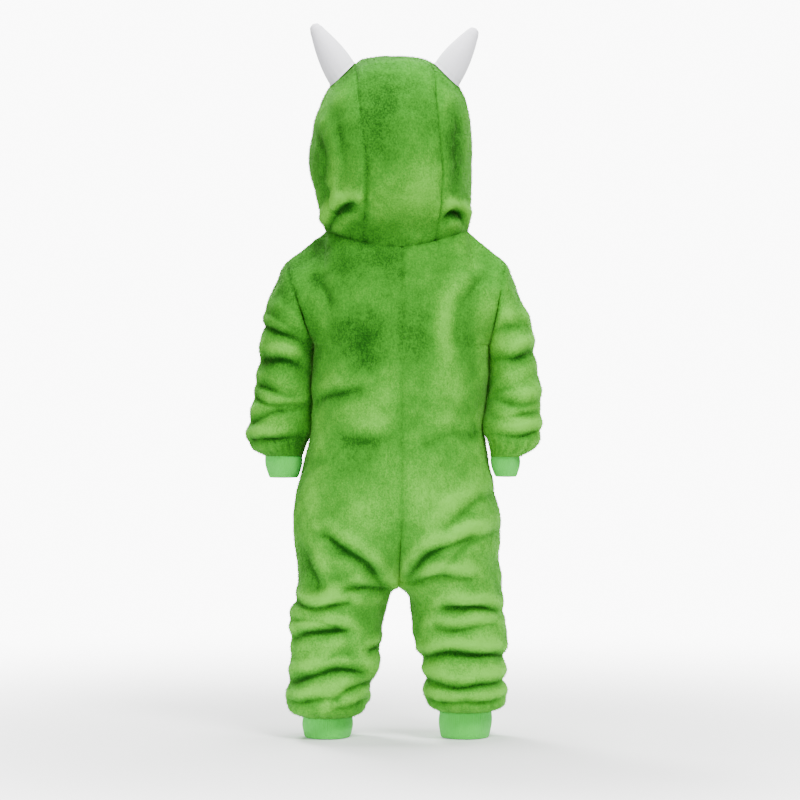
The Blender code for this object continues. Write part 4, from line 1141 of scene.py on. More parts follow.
def past_end(points, normals):
    """The same grid with three more rows, which stand out past its last one."""
    way = unit(points[-1] - points[-4])
    smooth = way.copy()
    smooth[:-1] += way[1:]
    smooth[1:] += way[:-1]
    way = unit(smooth)
    beyond = [points[-1] + way * ALLOWANCE_REACH * share for share in (1 / 3, 2 / 3, 1)]
    return np.concatenate([points, beyond]), np.concatenate([normals, np.repeat(normals[-1:], 3, axis=0)])


def centre_allowance(face):
    """The strip inside a centre seam down to the crotch: from the neck behind, from the zip in front."""
    left, left_normals, _ = body_panel(LEFT, face)
    right, right_normals, _ = body_panel(RIGHT, face)
    rows = left[:, 0, 2] > TORSO.table[0, 0]
    if face == FRONT:
        rows &= left[:, 0, 2] < ZIP_BOTTOM - ALLOWANCE_REACH
    across = slice(0, ALLOWANCE_COLUMNS)
    points = np.concatenate([left[rows, across][:, ::-1], right[rows, across]], axis=1)
    normals = np.concatenate([left_normals[rows, across][:, ::-1], right_normals[rows, across]], axis=1)
    return allowance(*past_end(points, normals))


def neck_allowance(side, face):
    """The strip inside the neck seam, which stands up into the hood."""
    points, normals, _ = body_panel(side, face)
    across = slice(ALLOWANCE_COLUMNS - 1 if face == BACK else 0, NECK_COLUMNS + 1)
    return allowance(*past_end(points[-4:, across], normals[-4:, across]))


def armhole_allowance(side, face):
    """The strip inside a body piece's armhole edge, which reaches on into the sleeve."""
    points, normals, _ = body_panel(side, face)
    rows = points[:, -1, 2] > UNDERARM_HEIGHT - ALLOWANCE_REACH
    across = [grid[rows, -ALLOWANCE_COLUMNS:].swapaxes(0, 1) for grid in (points, normals)]
    return allowance(*past_end(*across))


def sleeve_allowance(side):
    """The ring inside a sleeve's seam, which reaches on into the body."""
    points, normals, _ = sleeve_surface(side)
    ring = [np.concatenate([grid[3::-1], grid[3::-1, :1]], axis=1) for grid in (points, normals)]
    return allowance(*past_end(*ring))


# Meshes


def wall_faces(rows, columns, joined):
    """Faces of a wall: outer points first, row by row, then inner ones. Joined rows close on themselves."""
    inner = rows * columns
    faces = []
    for row in range(rows - 1):
        for column in range(columns - 1):
            here = row * columns + column
            above = here + columns
            faces.append((here, here + 1, above + 1, above))
            faces.append((inner + here, inner + above, inner + above + 1, inner + here + 1))
    for row in (0, rows - 1):
        for column in range(columns - 1):
            here = row * columns + column
            faces.append((here, here + 1, inner + here + 1, inner + here))
    if not joined:
        for row in range(rows - 1):
            for column in (0, columns - 1):
                here = row * columns + column
                faces.append((here, here + columns, inner + here + columns, inner + here))
    return faces


def finished_mesh(name, points, faces, finish, sharp=50):
    """An object from points in millimetres, its doubles merged and its faces turned outwards."""
    mesh = bpy.data.meshes.new(name)
    mesh.from_pydata((np.asarray(points) * MM).tolist(), [], faces)
    thing = bpy.data.objects.new(name, mesh)
    bpy.context.scene.collection.objects.link(thing)
    mesh.materials.append(look(finish))
    tidy_mesh(mesh, sharp)
    return thing


def tidy_mesh(mesh, sharp=50):
    """Merges a mesh's doubles, turns its faces outwards and shades it smooth but for its sharp edges."""
    shape = bmesh.new()
    shape.from_mesh(mesh)
    bmesh.ops.remove_doubles(shape, verts=shape.verts, dist=1e-6)
    bmesh.ops.recalc_face_normals(shape, faces=shape.faces)
    shape.to_mesh(mesh)
    shape.free()
    mesh.shade_smooth()
    mesh.set_sharp_from_angle(angle=math.radians(sharp))


def point_values(mesh, name, values):
    """Stores a value for each point of a mesh, which materials and trees read by name."""
    layer = mesh.attributes.new(name, "FLOAT", "POINT")
    layer.data.foreach_set("value", np.asarray(values, np.float32).ravel())


def add_cloth(node, outer, inner, finish, shift=None, joined=False):
    """A cloth piece that stands for a CAD node: a closed wall with a UV map in metres along the cloth.

    The fold attribute is how far a point stands out, which the plush's material paints as shade in creases
    and seam grooves and as light on ridges, and the face attribute is 1 on the outer face alone.
    """
    if joined:
        outer, inner = (np.concatenate([wall, wall[:, :1]], axis=1) for wall in (outer, inner))
        shift = None if shift is None else np.concatenate([shift, shift[:, :1]], axis=1)
    rows, columns = outer.shape[:2]
    ways = edge_ways(outer)
    flat = np.stack([ways["first_column"], ways["first_row"]], axis=-1).reshape(-1, 2) * MM
    name = node + "_cloth"
    mesh = bpy.data.meshes.new(name)
    points = np.concatenate([outer.reshape(-1, 3), inner.reshape(-1, 3)]) * MM
    mesh.from_pydata(points.tolist(), [], wall_faces(rows, columns, joined))
    corners = np.zeros(len(mesh.loops), int)
    mesh.loops.foreach_get("vertex_index", corners)
    layer = mesh.uv_layers.new(name="cloth")
    layer.data.foreach_set("uv", np.concatenate([flat, flat])[corners].astype(np.float32).ravel())
    shift = np.zeros(rows * columns) if shift is None else shift.ravel()
    point_values(mesh, "fold", np.tile(np.clip(shift / FOLD_RANGE, -1, 1), 2))
    point_values(mesh, "face", np.repeat([1.0, 0.0], rows * columns))
    # The brushed attribute carries the patches' tone: the nap, with painted shade and painted light
    point_values(mesh, "brushed", np.tile(nap_and_painted_light_tone(outer).ravel(), 2))
    mesh.materials.append(look(finish))
    tidy_mesh(mesh)
    thing = bpy.data.objects.new(name, mesh)
    bpy.context.scene.collection.objects.link(thing)
    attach(thing, "garment")
    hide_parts(node)
    return thing


def plain_copy(thing, name):
    """The finished mesh of a piece with live modifiers, as an object of its own; the working piece goes."""
    graph = bpy.context.evaluated_depsgraph_get()
    finished = thing.evaluated_get(graph)
    mesh = bpy.data.meshes.new_from_object(finished, preserve_all_data_layers=True, depsgraph=graph)
    made = bpy.data.objects.new(name, mesh)
    mesh.name = name
    bpy.context.scene.collection.objects.link(made)
    bpy.data.objects.remove(thing)
    return made


def grown(tree_name, source, name, values):
    """A plain mesh that a node tree grows on a source mesh, with the tree's inputs by name."""
    tree = bpy.data.node_groups[tree_name]
    thing = bpy.data.objects.new("work_" + name, source)
    bpy.context.scene.collection.objects.link(thing)
    change = thing.modifiers.new("grow", "NODES")
    change.node_group = tree
    for item in tree.interface.items_tree:
        if item.item_type == "SOCKET" and item.in_out == "INPUT" and item.name in values:
            change[item.identifier] = values[item.name]
    return plain_copy(thing, name)


def path_mesh(name, lines):
    """A mesh of open lines of points in millimetres, for a tree to sew along."""
    points = []
    edges = []
    for line in lines:
        first = len(points)
        points.extend((np.asarray(line) * MM).tolist())
        edges.extend((first + step, first + step + 1) for step in range(len(line) - 1))
    mesh = bpy.data.meshes.new(name)
    mesh.from_pydata(points, edges, [])
    return mesh


# Materials and node trees


def add_node(tree, kind, inputs=(), **settings):
    """A node with its settings, and its inputs by name or place: a value to set or a socket to link."""
    made = tree.nodes.new(kind)
    for key, value in settings.items():
        setattr(made, key, value)
    for name, value in dict(inputs).items():
        if isinstance(value, bpy.types.NodeSocket):
            tree.links.new(value, made.inputs[name])
        else:
            made.inputs[name].default_value = value
    return made


def add_group(name, kind, inputs, outputs):
    """An empty node group with named inputs and outputs, and its two end nodes."""
    tree = bpy.data.node_groups.new(name, kind)
    for label, socket, value in inputs:
        made = tree.interface.new_socket(name=label, in_out="INPUT", socket_type=socket)
        if value is not None:
            made.default_value = value
    for label, socket in outputs:
        tree.interface.new_socket(name=label, in_out="OUTPUT", socket_type=socket)
    return tree, tree.nodes.new("NodeGroupInput"), tree.nodes.new("NodeGroupOutput")


def maths(tree, operation, first, second=0.0, third=0.0):
    """A sum on up to three values or sockets."""
    return add_node(tree, "ShaderNodeMath", {0: first, 1: second, 2: third}, operation=operation).outputs[0]


def weighed(tree, first, first_share, second, second_share):
    """Two values added, each times its share."""
    second = maths(tree, "MULTIPLY", second, second_share)
    return maths(tree, "ADD", maths(tree, "MULTIPLY", first, first_share), second)


def vector_maths(tree, operation, first, second):
    """Two vectors added, or one vector scaled."""
    inputs = {0: first, "Scale" if operation == "SCALE" else 1: second}
    return add_node(tree, "ShaderNodeVectorMath", inputs, operation=operation).outputs[0]


def stretched(tree, vector, scale):
    """A place with each axis scaled."""
    return add_node(tree, "ShaderNodeMapping", {"Vector": vector, "Scale": scale}).outputs["Vector"]


def noise(tree, vector, scale, detail=2.0, rough=0.5, swirl=0.0):
    """A noise texture's value at a place."""
    inputs = {"Vector": vector, "Scale": scale, "Detail": detail, "Roughness": rough, "Distortion": swirl}
    return add_node(tree, "ShaderNodeTexNoise", inputs).outputs["Fac"]


def spread(tree, value, low, high, start=0.0, end=1.0):
    """A value between two limits, taken smoothly to another range."""
    inputs = {"Value": value, "From Min": low, "From Max": high, "To Min": start, "To Max": end}
    return add_node(tree, "ShaderNodeMapRange", inputs, interpolation_type="SMOOTHSTEP").outputs[0]


def blended(tree, share, first, second):
    """A mix of two colours."""
    made = add_node(tree, "ShaderNodeMix", {0: share, 6: first, 7: second}, data_type="RGBA")
    return made.outputs[2]


def build_nap_group():
    """Brushed pile: broad patches where it lies another way, fine grain, and a height for both."""
    inputs = [
        ("Vector", "NodeSocketVector", None),
        ("Patch Scale", "NodeSocketFloat", 22.0),
        ("Grain Scale", "NodeSocketFloat", 620.0),
    ]
    outputs = [("Patch", "NodeSocketFloat"), ("Grain", "NodeSocketFloat"), ("Height", "NodeSocketFloat")]
    tree, start, end = add_group("Brushed pile", "ShaderNodeTree", inputs, outputs)
    place = stretched(tree, start.outputs["Vector"], (1.0, 1.0, 0.62))
    patch = noise(tree, place, start.outputs["Patch Scale"], 2.0, 0.5, 0.5)
    lock = noise(tree, place, maths(tree, "MULTIPLY", start.outputs["Grain Scale"], 0.28), 2.0, 0.6, 0.4)
    fibre_place = stretched(tree, start.outputs["Vector"], (1.0, 1.0, 0.8))
    grain = noise(tree, fibre_place, start.outputs["Grain Scale"], 2.0, 0.7, 0.3)
    tree.links.new(spread(tree, patch, 0.34, 0.66), end.inputs["Patch"])
    speckle = weighed(tree, lock, 0.22, grain, 0.78)
    tree.links.new(spread(tree, speckle, 0.36, 0.64), end.inputs["Grain"])
    tree.links.new(weighed(tree, lock, 0.9, grain, 0.6), end.inputs["Height"])


def build_knit_group():
    """Knitted cloth on a map in metres: upright ribs crossed by rows of stitches."""
    inputs = [
        ("Vector", "NodeSocketVector", None),
        ("Rib Width", "NodeSocketFloat", 0.0012),
        ("Row Height", "NodeSocketFloat", 0.0009),
    ]
    outputs = [("Shade", "NodeSocketFloat"), ("Height", "NodeSocketFloat")]
    tree, start, end = add_group("Knit", "ShaderNodeTree", inputs, outputs)
    parts = add_node(tree, "ShaderNodeSeparateXYZ", {"Vector": start.outputs["Vector"]})
    across, along = (
        maths(tree, "MULTIPLY", maths(tree, "DIVIDE", parts.outputs[axis], start.outputs[pitch]), 2 * math.pi)
        for axis, pitch in (("X", "Rib Width"), ("Y", "Row Height"))
    )
    rib = maths(tree, "MULTIPLY_ADD", maths(tree, "COSINE", across), 0.5, 0.5)
    slant = maths(tree, "ADD", along, maths(tree, "MULTIPLY", maths(tree, "SINE", across), 1.6))
    loop = maths(tree, "MULTIPLY_ADD", maths(tree, "COSINE", slant), 0.5, 0.5)
    height = weighed(tree, rib, 0.65, loop, 0.35)
    tree.links.new(height, end.inputs["Height"])
    tree.links.new(spread(tree, height, 0.1, 0.9), end.inputs["Shade"])


def look(name):
    """The material that this script made under a name; the CAD model's own carry the bare names."""
    return bpy.data.materials[name + "_look"]


def new_material(name):
    """A material with an empty tree but for its shader and output."""
    made = bpy.data.materials.new(name + "_look")
    made.use_nodes = True
    tree = made.node_tree
    shader = tree.nodes["Principled BSDF"]
    return made, tree, shader


def object_place(tree):
    """The place on the object, in metres."""
    return add_node(tree, "ShaderNodeTexCoord").outputs["Object"]


def attribute_value(tree, name):
    """A value that the piece's points carry."""
    return add_node(tree, "ShaderNodeAttribute", attribute_name=name).outputs["Fac"]


def bump(tree, height, strength, distance):
    """A normal that follows a height."""
    inputs = {"Height": height, "Strength": strength, "Distance": distance}
    return add_node(tree, "ShaderNodeBump", inputs).outputs[0]


def set_sockets(shader, values):
    """Sets what is the same all over on the shader's own sockets."""
    for name, value in values.items():
        shader.inputs[name].default_value = value


def napped_material(name, colours, patch_scale, grain_scale, sheen, bump_depth):
    """Brushed cloth: dark, middle and light colours laid by the nap, the grain and the depth of its folds,
    which paints shade into its creases and light onto its ridges.
    """
    made, tree, shader = new_material(name)
    group = add_node(tree, "ShaderNodeGroup", node_tree=bpy.data.node_groups["Brushed pile"])
    tree.links.new(object_place(tree), group.inputs["Vector"])
    group.inputs["Patch Scale"].default_value = patch_scale
    group.inputs["Grain Scale"].default_value = grain_scale
    # The brushed attribute adds the patches' tone: nap, painted shade and painted light
    fold, brushed = (attribute_value(tree, name) for name in ("fold", "brushed"))
    # Painted shade: the fold attribute darkens creases, seam grooves and hollows; painted light: it lightens
    # ridges
    lie = maths(tree, "MULTIPLY_ADD", fold, FOLD_PAINTED_SHADING, brushed)
    tone = maths(tree, "MULTIPLY_ADD", group.outputs["Patch"], PATCH_TONE, lie)
    tone = maths(tree, "MULTIPLY_ADD", group.outputs["Grain"], GRAIN_TONE, tone)
    dark, middle, light = (tuple(colour) + (1.0,) for colour in colours)
    low = blended(tree, spread(tree, tone, -0.4, 0.35), dark, middle)
    colour = blended(tree, spread(tree, tone, 0.2, 1.1), low, light)
    tree.links.new(colour, shader.inputs["Base Color"])
    set_sockets(shader, {"Roughness": 0.95, "Specular IOR Level": 0.06, **sheen})
    tree.links.new(bump(tree, group.outputs["Height"], 0.8, bump_depth), shader.inputs["Normal"])
    return made


def knit_material(name, colours, rib_width, row_height, sheen):
    """Knitted cloth in two tones of one colour that follow its ribs: painted shade, darker in the hollows
    between ribs and stitches, and lighter on their tops.
    """
    made, tree, shader = new_material(name)
    group = add_node(tree, "ShaderNodeGroup", node_tree=bpy.data.node_groups["Knit"])
    tree.links.new(add_node(tree, "ShaderNodeUVMap", uv_map="cloth").outputs["UV"], group.inputs["Vector"])
    group.inputs["Rib Width"].default_value = rib_width
    group.inputs["Row Height"].default_value = row_height
    dark, light = (tuple(colour) + (1.0,) for colour in colours)
    mottle = noise(tree, object_place(tree), 60.0, 3.0)
    share = weighed(tree, group.outputs["Shade"], 0.7, mottle, 0.3)
    tree.links.new(blended(tree, share, dark, light), shader.inputs["Base Color"])
    set_sockets(shader, {"Roughness": 0.8, "Specular IOR Level": 0.25, **sheen})
    tree.links.new(bump(tree, group.outputs["Height"], 0.7, 0.0004), shader.inputs["Normal"])
    return made


def smooth_material(name, colour, roughness, metallic, grain=400.0):
    """Thread, moulded teeth or metal, with a fine uneven grain in its roughness and surface."""
    made, tree, shader = new_material(name)
    place = object_place(tree)
    fine = noise(tree, place, grain, 3.0)
    broad = noise(tree, place, grain / 8, 3.0)
    worn = tuple(0.82 * value for value in colour) + (1.0,)
    tree.links.new(blended(tree, broad, worn, tuple(colour) + (1.0,)), shader.inputs["Base Color"])
    rough = spread(tree, broad, 0.2, 0.8, roughness * 0.8, roughness * 1.2)
    tree.links.new(rough, shader.inputs["Roughness"])
    shader.inputs["Metallic"].default_value = metallic
    tree.links.new(bump(tree, fine, 0.3, 0.0001), shader.inputs["Normal"])
    return made


def build_materials(settings):
    """The materials of all the pieces, in the colours of the settings."""
    build_nap_group()
    build_knit_group()
    sheen = {"Sheen Weight": 0.3, "Sheen Roughness": 0.3, "Sheen Tint": (0.45, 1.0, 0.25, 1.0)}
    colours = (settings.plush_dark, settings.plush_middle, settings.plush_light)
    napped_material("plush", colours, 21.0, 640.0, sheen, 0.0015)
    pale = {"Sheen Weight": 0.3, "Sheen Roughness": 0.5, "Sheen Tint": (1.0, 1.0, 1.0, 1.0)}
    white = settings.horn_colour
    shades = [tuple(share * value for value in white) for share in (0.86, 0.95, 1.0)]
    napped_material("white_cloth", shades, 40.0, 900.0, pale, 0.0003)
    knit_sheen = {"Sheen Weight": 0.25, "Sheen Roughness": 0.5, "Sheen Tint": (0.7, 1.0, 0.7, 1.0)}
    # The knit's darker tone is the same colour dimmed, painted shade for the hollows of its ribs and stitches
    green = settings.cuff_colour
    knit_material("cuff_knit", (tuple(0.72 * value for value in green), green), 0.0011, 0.0008, knit_sheen)
    tape = settings.plush_dark
    knit_material("zip_tape", (tuple(0.8 * value for value in tape), tape), 0.0008, 0.0006, knit_sheen)
    smooth_material("zip_teeth", settings.plush_middle, 0.42, 0.0)
    smooth_material("zip_metal", (0.62, 0.62, 0.60), 0.3, 1.0)
    smooth_material("green_thread", settings.plush_dark, 0.7, 0.0)
    smooth_material("white_thread", (0.86, 0.84, 0.9), 0.6, 0.0)


def geometry_group(name, inputs):
    """An empty geometry tree: its source mesh comes first among its inputs and its material last."""
    inputs = [("Geometry", "NodeSocketGeometry", None), *inputs, ("Material", "NodeSocketMaterial", None)]
    return add_group(name, "GeometryNodeTree", inputs, [("Geometry", "NodeSocketGeometry")])


def along_line(tree, start, pitch, axis):
    """Points at an even pitch along the source's lines, and the turn that lays an axis along them."""
    line = add_node(tree, "GeometryNodeMeshToCurve", {"Mesh": start.outputs["Geometry"]}).outputs[0]
    even = add_node(tree, "GeometryNodeResampleCurve", {"Curve": line, "Length": pitch}, mode="LENGTH")
    tangent = add_node(tree, "GeometryNodeInputTangent").outputs[0]
    turn = add_node(tree, "FunctionNodeAlignRotationToVector", {"Vector": tangent}, axis=axis)
    return even.outputs[0], turn.outputs[0]


def set_out(tree, start, end, copies):
    """Sets copies of a shape on points, makes them real and gives them the tree's material."""
    placed = add_node(tree, "GeometryNodeInstanceOnPoints", copies)
    real = add_node(tree, "GeometryNodeRealizeInstances", {"Geometry": placed.outputs[0]})
    inputs = {"Geometry": real.outputs[0], "Material": start.outputs["Material"]}
    done = add_node(tree, "GeometryNodeSetMaterial", inputs)
    tree.links.new(done.outputs[0], end.inputs["Geometry"])


def build_pile_tree():
    """Tufts of pile over the outer face of a cloth piece, combed one way and a little ruffled."""
    inputs = [
        ("Tufts per Area", "NodeSocketFloat", 200000.0),
        ("Tuft Length", "NodeSocketFloat", 0.003),
        ("Tuft Width", "NodeSocketFloat", 0.0003),
        ("Lean", "NodeSocketFloat", 0.8),
        ("Ruffle", "NodeSocketFloat", 0.35),
        ("Comb", "NodeSocketVector", (0.0, 0.0, -1.0)),
        ("Seed", "NodeSocketInt", 1),
    ]
    tree, start, end = geometry_group("Pile tufts", inputs)
    face = add_node(tree, "GeometryNodeInputNamedAttribute", {"Name": "face"}, data_type="FLOAT")
    inputs = {0: face.outputs["Attribute"], 1: 0.99}
    outer = add_node(tree, "FunctionNodeCompare", inputs, operation="GREATER_THAN")
    seed = start.outputs["Seed"]
    inputs = {"Mesh": start.outputs["Geometry"], "Selection": outer.outputs["Result"], "Seed": seed}
    inputs["Density"] = start.outputs["Tufts per Area"]
    points = add_node(tree, "GeometryNodeDistributePointsOnFaces", inputs)
    inputs = {0: (-1.0, -1.0, -1.0), 1: (1.0, 1.0, 1.0), "Seed": seed}
    ruffle = add_node(tree, "FunctionNodeRandomValue", inputs, data_type="FLOAT_VECTOR").outputs[0]
    lean = vector_maths(tree, "SCALE", start.outputs["Comb"], start.outputs["Lean"])
    loose = vector_maths(tree, "SCALE", ruffle, start.outputs["Ruffle"])
    way = vector_maths(tree, "ADD", vector_maths(tree, "ADD", lean, loose), points.outputs["Normal"])
    turn = add_node(tree, "FunctionNodeAlignRotationToVector", {"Vector": way}, axis="Z").outputs[0]
    inputs = {2: 0.65, 3: 1.15, "Seed": seed}
    size = add_node(tree, "FunctionNodeRandomValue", inputs, data_type="FLOAT").outputs[1]
    width, length = start.outputs["Tuft Width"], start.outputs["Tuft Length"]
    inputs = {"Vertices": 3, "Radius Bottom": width, "Depth": length}
    tuft = add_node(tree, "GeometryNodeMeshCone", inputs, fill_type="NONE").outputs["Mesh"]
    copies = {"Points": points.outputs["Points"], "Instance": tuft, "Rotation": turn, "Scale": size}
    set_out(tree, start, end, copies)


def build_stitch_tree():
    """Stitches of thread along lines, lying along or across them."""
    inputs = [("Pitch", "NodeSocketFloat", 0.003), ("Size", "NodeSocketVector", (0.0012, 0.0003, 0.0003))]
    tree, start, end = geometry_group("Stitches", inputs)
    points, turn = along_line(tree, start, start.outputs["Pitch"], "X")
    inputs = {"Segments": 6, "Rings": 4, "Radius": 1.0}
    bead = add_node(tree, "GeometryNodeMeshUVSphere", inputs).outputs["Mesh"]
    copies = {"Points": points, "Instance": bead, "Rotation": turn, "Scale": start.outputs["Size"]}
    set_out(tree, start, end, copies)


def build_teeth_tree():
    """Zip teeth along a line, turned by half a turn one after the other so that the two rows mesh."""
    inputs = [
        ("Pitch", "NodeSocketFloat", 0.002),
        ("Tooth Size", "NodeSocketVector", (0.0026, 0.0015, 0.0011)),
        ("Offset", "NodeSocketFloat", 0.0009),
    ]
    tree, start, end = geometry_group("Zip teeth", inputs)
    points, turn = along_line(tree, start, maths(tree, "MULTIPLY", start.outputs["Pitch"], 0.5), "Z")
    odd = maths(tree, "MODULO", add_node(tree, "GeometryNodeInputIndex").outputs[0], 2.0)
    about = {"Axis": (0.0, 0.0, 1.0), "Angle": maths(tree, "MULTIPLY", odd, math.pi)}
    half_turn = add_node(tree, "FunctionNodeAxisAngleToRotation", about).outputs[0]
    inputs = {"Rotation": turn, "Rotate By": half_turn}
    facing = add_node(tree, "FunctionNodeRotateRotation", inputs, rotation_space="LOCAL").outputs[0]
    block = add_node(tree, "GeometryNodeMeshCube", {"Size": start.outputs["Tooth Size"]}).outputs["Mesh"]
    inputs = {"Mesh": block, "Level": 1, "Edge Crease": 0.55}
    smooth = add_node(tree, "GeometryNodeSubdivisionSurface", inputs).outputs[0]
    shift = add_node(tree, "ShaderNodeCombineXYZ", {"X": start.outputs["Offset"]}).outputs[0]
    inputs = {"Geometry": smooth, "Translation": shift}
    tooth = add_node(tree, "GeometryNodeTransform", inputs).outputs[0]
    set_out(tree, start, end, {"Points": points, "Instance": tooth, "Rotation": facing})


# Settings


def colour_setting(name, description, default):
    """A colour that a user may change."""
    values = {"name": name, "description": description, "default": default}
    return bpy.props.FloatVectorProperty(**values, subtype="COLOR", size=3, min=0, max=1)


def length_setting(name, description, default, least, most, precision=2):
    """A length in metres that a user may change."""
    values = {"name": name, "description": description, "default": default, "min": least, "max": most}
    return bpy.props.FloatProperty(**values, precision=precision, subtype="DISTANCE", unit="LENGTH")


class SuitSettings(bpy.types.PropertyGroup):
    # The plush's dark colour is painted shade in creases as well as darker nap, and its light colour is
    # painted light on ridges as well as lighter nap
    plush_dark: colour_setting(
        "Plush, Dark",
        "Colour of the pile in its folds and where it is brushed away from the light",
        (0.009, 0.070, 0.004),
    )
    plush_middle: colour_setting("Plush", "Colour of most of the pile", (0.041, 0.240, 0.015))
    plush_light: colour_setting(
        "Plush, Light",
        "Colour of the pile where it is brushed towards the light",
        (0.145, 0.50, 0.038),
    )
    cuff_colour: colour_setting("Cuffs", "Colour of the knitted cuffs", (0.06, 0.64, 0.052))
    horn_colour: colour_setting("Horns", "Colour of the horns' brushed cloth", (0.93, 0.92, 0.98))
    tuft_length: length_setting("Pile Length", "Length of one tuft of the plush", 0.0022, 0.001, 0.01, 4)
    tuft_width: length_setting("Tuft Width", "Radius of a tuft at its root", 0.00024, 0.0001, 0.002, 5)
    tufts_per_area: bpy.props.FloatProperty(
        name="Tufts per Square Metre",
        description="How close the tufts stand",
        default=150000.0,
        min=0.0,
        max=600000.0,
    )
    stitch_pitch: length_setting("Stitch Length", "From one stitch to the next", 0.0028, 0.001, 0.01, 4)
    camera_distance: length_setting("Camera Distance", "From the camera to the suit", 3.5, 1.0, 10.0)
    camera_lens: bpy.props.FloatProperty(
        name="Camera Lens",
        description="Focal length of the camera",
        default=133.5,
        min=20.0,
        max=300.0,
        subtype="DISTANCE_CAMERA",
        unit="CAMERA",
    )
    light_power: bpy.props.FloatProperty(
        name="Light",
        description="Power of the main soft light",
        default=160.0,
        min=0.0,
        max=1000.0,
        subtype="POWER",
        unit="POWER",
    )


# Operators


def add_pile(node, piece, seed):
    """The tufts on a plush piece."""
    settings = bpy.context.scene.plush_suit
    density = settings.tufts_per_area * 1.0
    values = {
        "Tufts per Area": density,
        "Tuft Length": settings.tuft_length,
        "Tuft Width": settings.tuft_width,
        "Seed": seed,
        "Material": look("plush"),
    }
    pile = grown("Pile tufts", piece.data, node + "_pile", values)
    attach(pile, "garment")
    return pile


class SUIT_OT_prepare(bpy.types.Operator):
    """Builds the materials and the node trees that the pieces share"""

    bl_idname = "suit.prepare"
    bl_label = "Materials and Trees"

    def execute(self, context):
        build_materials(context.scene.plush_suit)
        build_pile_tree()
        build_stitch_tree()
        build_teeth_tree()
        return {"FINISHED"}


class SUIT_OT_body(bpy.types.Operator):
    """Lays out the two halves of the back and of the front, from the neck to the ankles"""

    bl_idname = "suit.body"
    bl_label = "Body"

    def execute(self, context):
        seed = 10
        for side in (LEFT, RIGHT):
            for face in (BACK, FRONT):
                points, normals, shift = body_panel(side, face)
                node = f"{FACE_NAMES[face]}_{SIDE_NAMES[side]}"
                piece = add_cloth(node, points, points - normals * PLUSH_WALL, "plush", shift)
                pile = add_pile(node, piece, seed)
                seed += 1
        return {"FINISHED"}


class SUIT_OT_sleeves(bpy.types.Operator):
    """Lays out the two sleeves, creased where the arms bend them"""

    bl_idname = "suit.sleeves"
    bl_label = "Sleeves"

    def execute(self, context):
        for side in (LEFT, RIGHT):
            node = "sleeve_" + SIDE_NAMES[side]
            outer, inner, shift = sleeve_wall(side)
            piece = add_cloth(node, outer, inner, "plush", shift, joined=True)
            pile = add_pile(node, piece, 20 + side)
        return {"FINISHED"}


class SUIT_OT_hood(bpy.types.Operator):
    """Lays out the hood's centre strip and its two sides"""

    bl_idname = "suit.hood"
    bl_label = "Hood"

    def execute(self, context):
        for seed, node in enumerate(("hood_center", "hood_side_left", "hood_side_right")):
            outer, inner, shift = hood_wall(node)
            piece = add_cloth(node, outer, inner, "plush", shift)
            pile = add_pile(node, piece, 30 + seed)
        return {"FINISHED"}


class SUIT_OT_cuffs(bpy.types.Operator):
    """Knits the four cuffs"""

    bl_idname = "suit.cuffs"
    bl_label = "Cuffs"

    def execute(self, context):
        for node in CUFFS:
            outer, inner = cuff_wall(node)
            piece = add_cloth(node, outer, inner, "cuff_knit", joined=True)
        return {"FINISHED"}


def ring_faces(rows, columns):
    """Faces between closed rings, and the fans that close both ends round the two points after them."""
    faces = []
    for row in range(rows - 1):
        for column in range(columns):
            here = row * columns + column
            beside = row * columns + (column + 1) % columns
            faces.append((here, beside, beside + columns, here + columns))
    last = (rows - 1) * columns
    for column in range(columns):
        beside = (column + 1) % columns
        faces.append((rows * columns, beside, column))
        faces.append((rows * columns + 1, last + column, last + beside))
    return faces


class SUIT_OT_horns(bpy.types.Operator):
    """Stuffs the two horns and sews them to the hood"""

    bl_idname = "suit.horns"
    bl_label = "Horns"

    def execute(self, context):
        for side in (LEFT, RIGHT):
            node = "horn_" + SIDE_NAMES[side]
            rows, axis = horn_rows(side)
            ends = [rows[:1].mean(axis=1), rows[-1:].mean(axis=1) + axis * HORN_TIP]
            points = np.concatenate([rows.reshape(-1, 3), *ends])
            faces = ring_faces(*rows.shape[:2])
            horn = finished_mesh(node + "_stuffed", points, faces, "white_cloth", HORN_SHARP)
            point_values(horn.data, "fold", np.zeros(len(horn.data.vertices)))
            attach(horn, "garment")
            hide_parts(node)
            rim = rows[HORN_STITCH_ROW]
            values = {
                "Pitch": context.scene.plush_suit.stitch_pitch,
                "Size": (0.0011, 0.00035, 0.00035),
                "Material": look("white_thread"),
            }
            path = path_mesh(node + "_rim", [np.concatenate([rim, rim[:1]])])
            seam = grown("Stitches", path, node + "_stitches", values)
            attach(seam, "garment")
        return {"FINISHED"}


class SUIT_OT_zip(bpy.types.Operator):
    """Fits the front zip: its two tapes, its teeth, the slider and the pull tab"""

    bl_idname = "suit.zip"
    bl_label = "Zip"

    def execute(self, context):
        out = -(PLUSH_WALL + TAPE_GAP)
        shares = np.linspace(0, 1, TAPE_STEPS)
        for side in (LEFT, RIGHT):
            node = "zip_tape_" + SIDE_NAMES[side]
            outer, inner = zip_strip(side, shares, out, TAPE_WALL)
            piece = add_cloth(node, outer, inner, "zip_tape")
        points, normals = front_line(LEFT, 0.0)
        middle = points + normals * (out + TEETH_GAP + TEETH_WALL / 2)
        values = {"Pitch": TOOTH_PITCH * MM, "Material": look("zip_teeth")}
        teeth = grown("Zip teeth", path_mesh("teeth_line", [middle]), "zip_teeth_row", values)
        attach(teeth, "garment")
        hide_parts("zip_teeth")
        for node, body in (("zip_slider", "garment"), ("zip_pull", "pull_tab")):
            piece = rounded_copy(node)
            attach(piece, body)
            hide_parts(node)
        return {"FINISHED"}


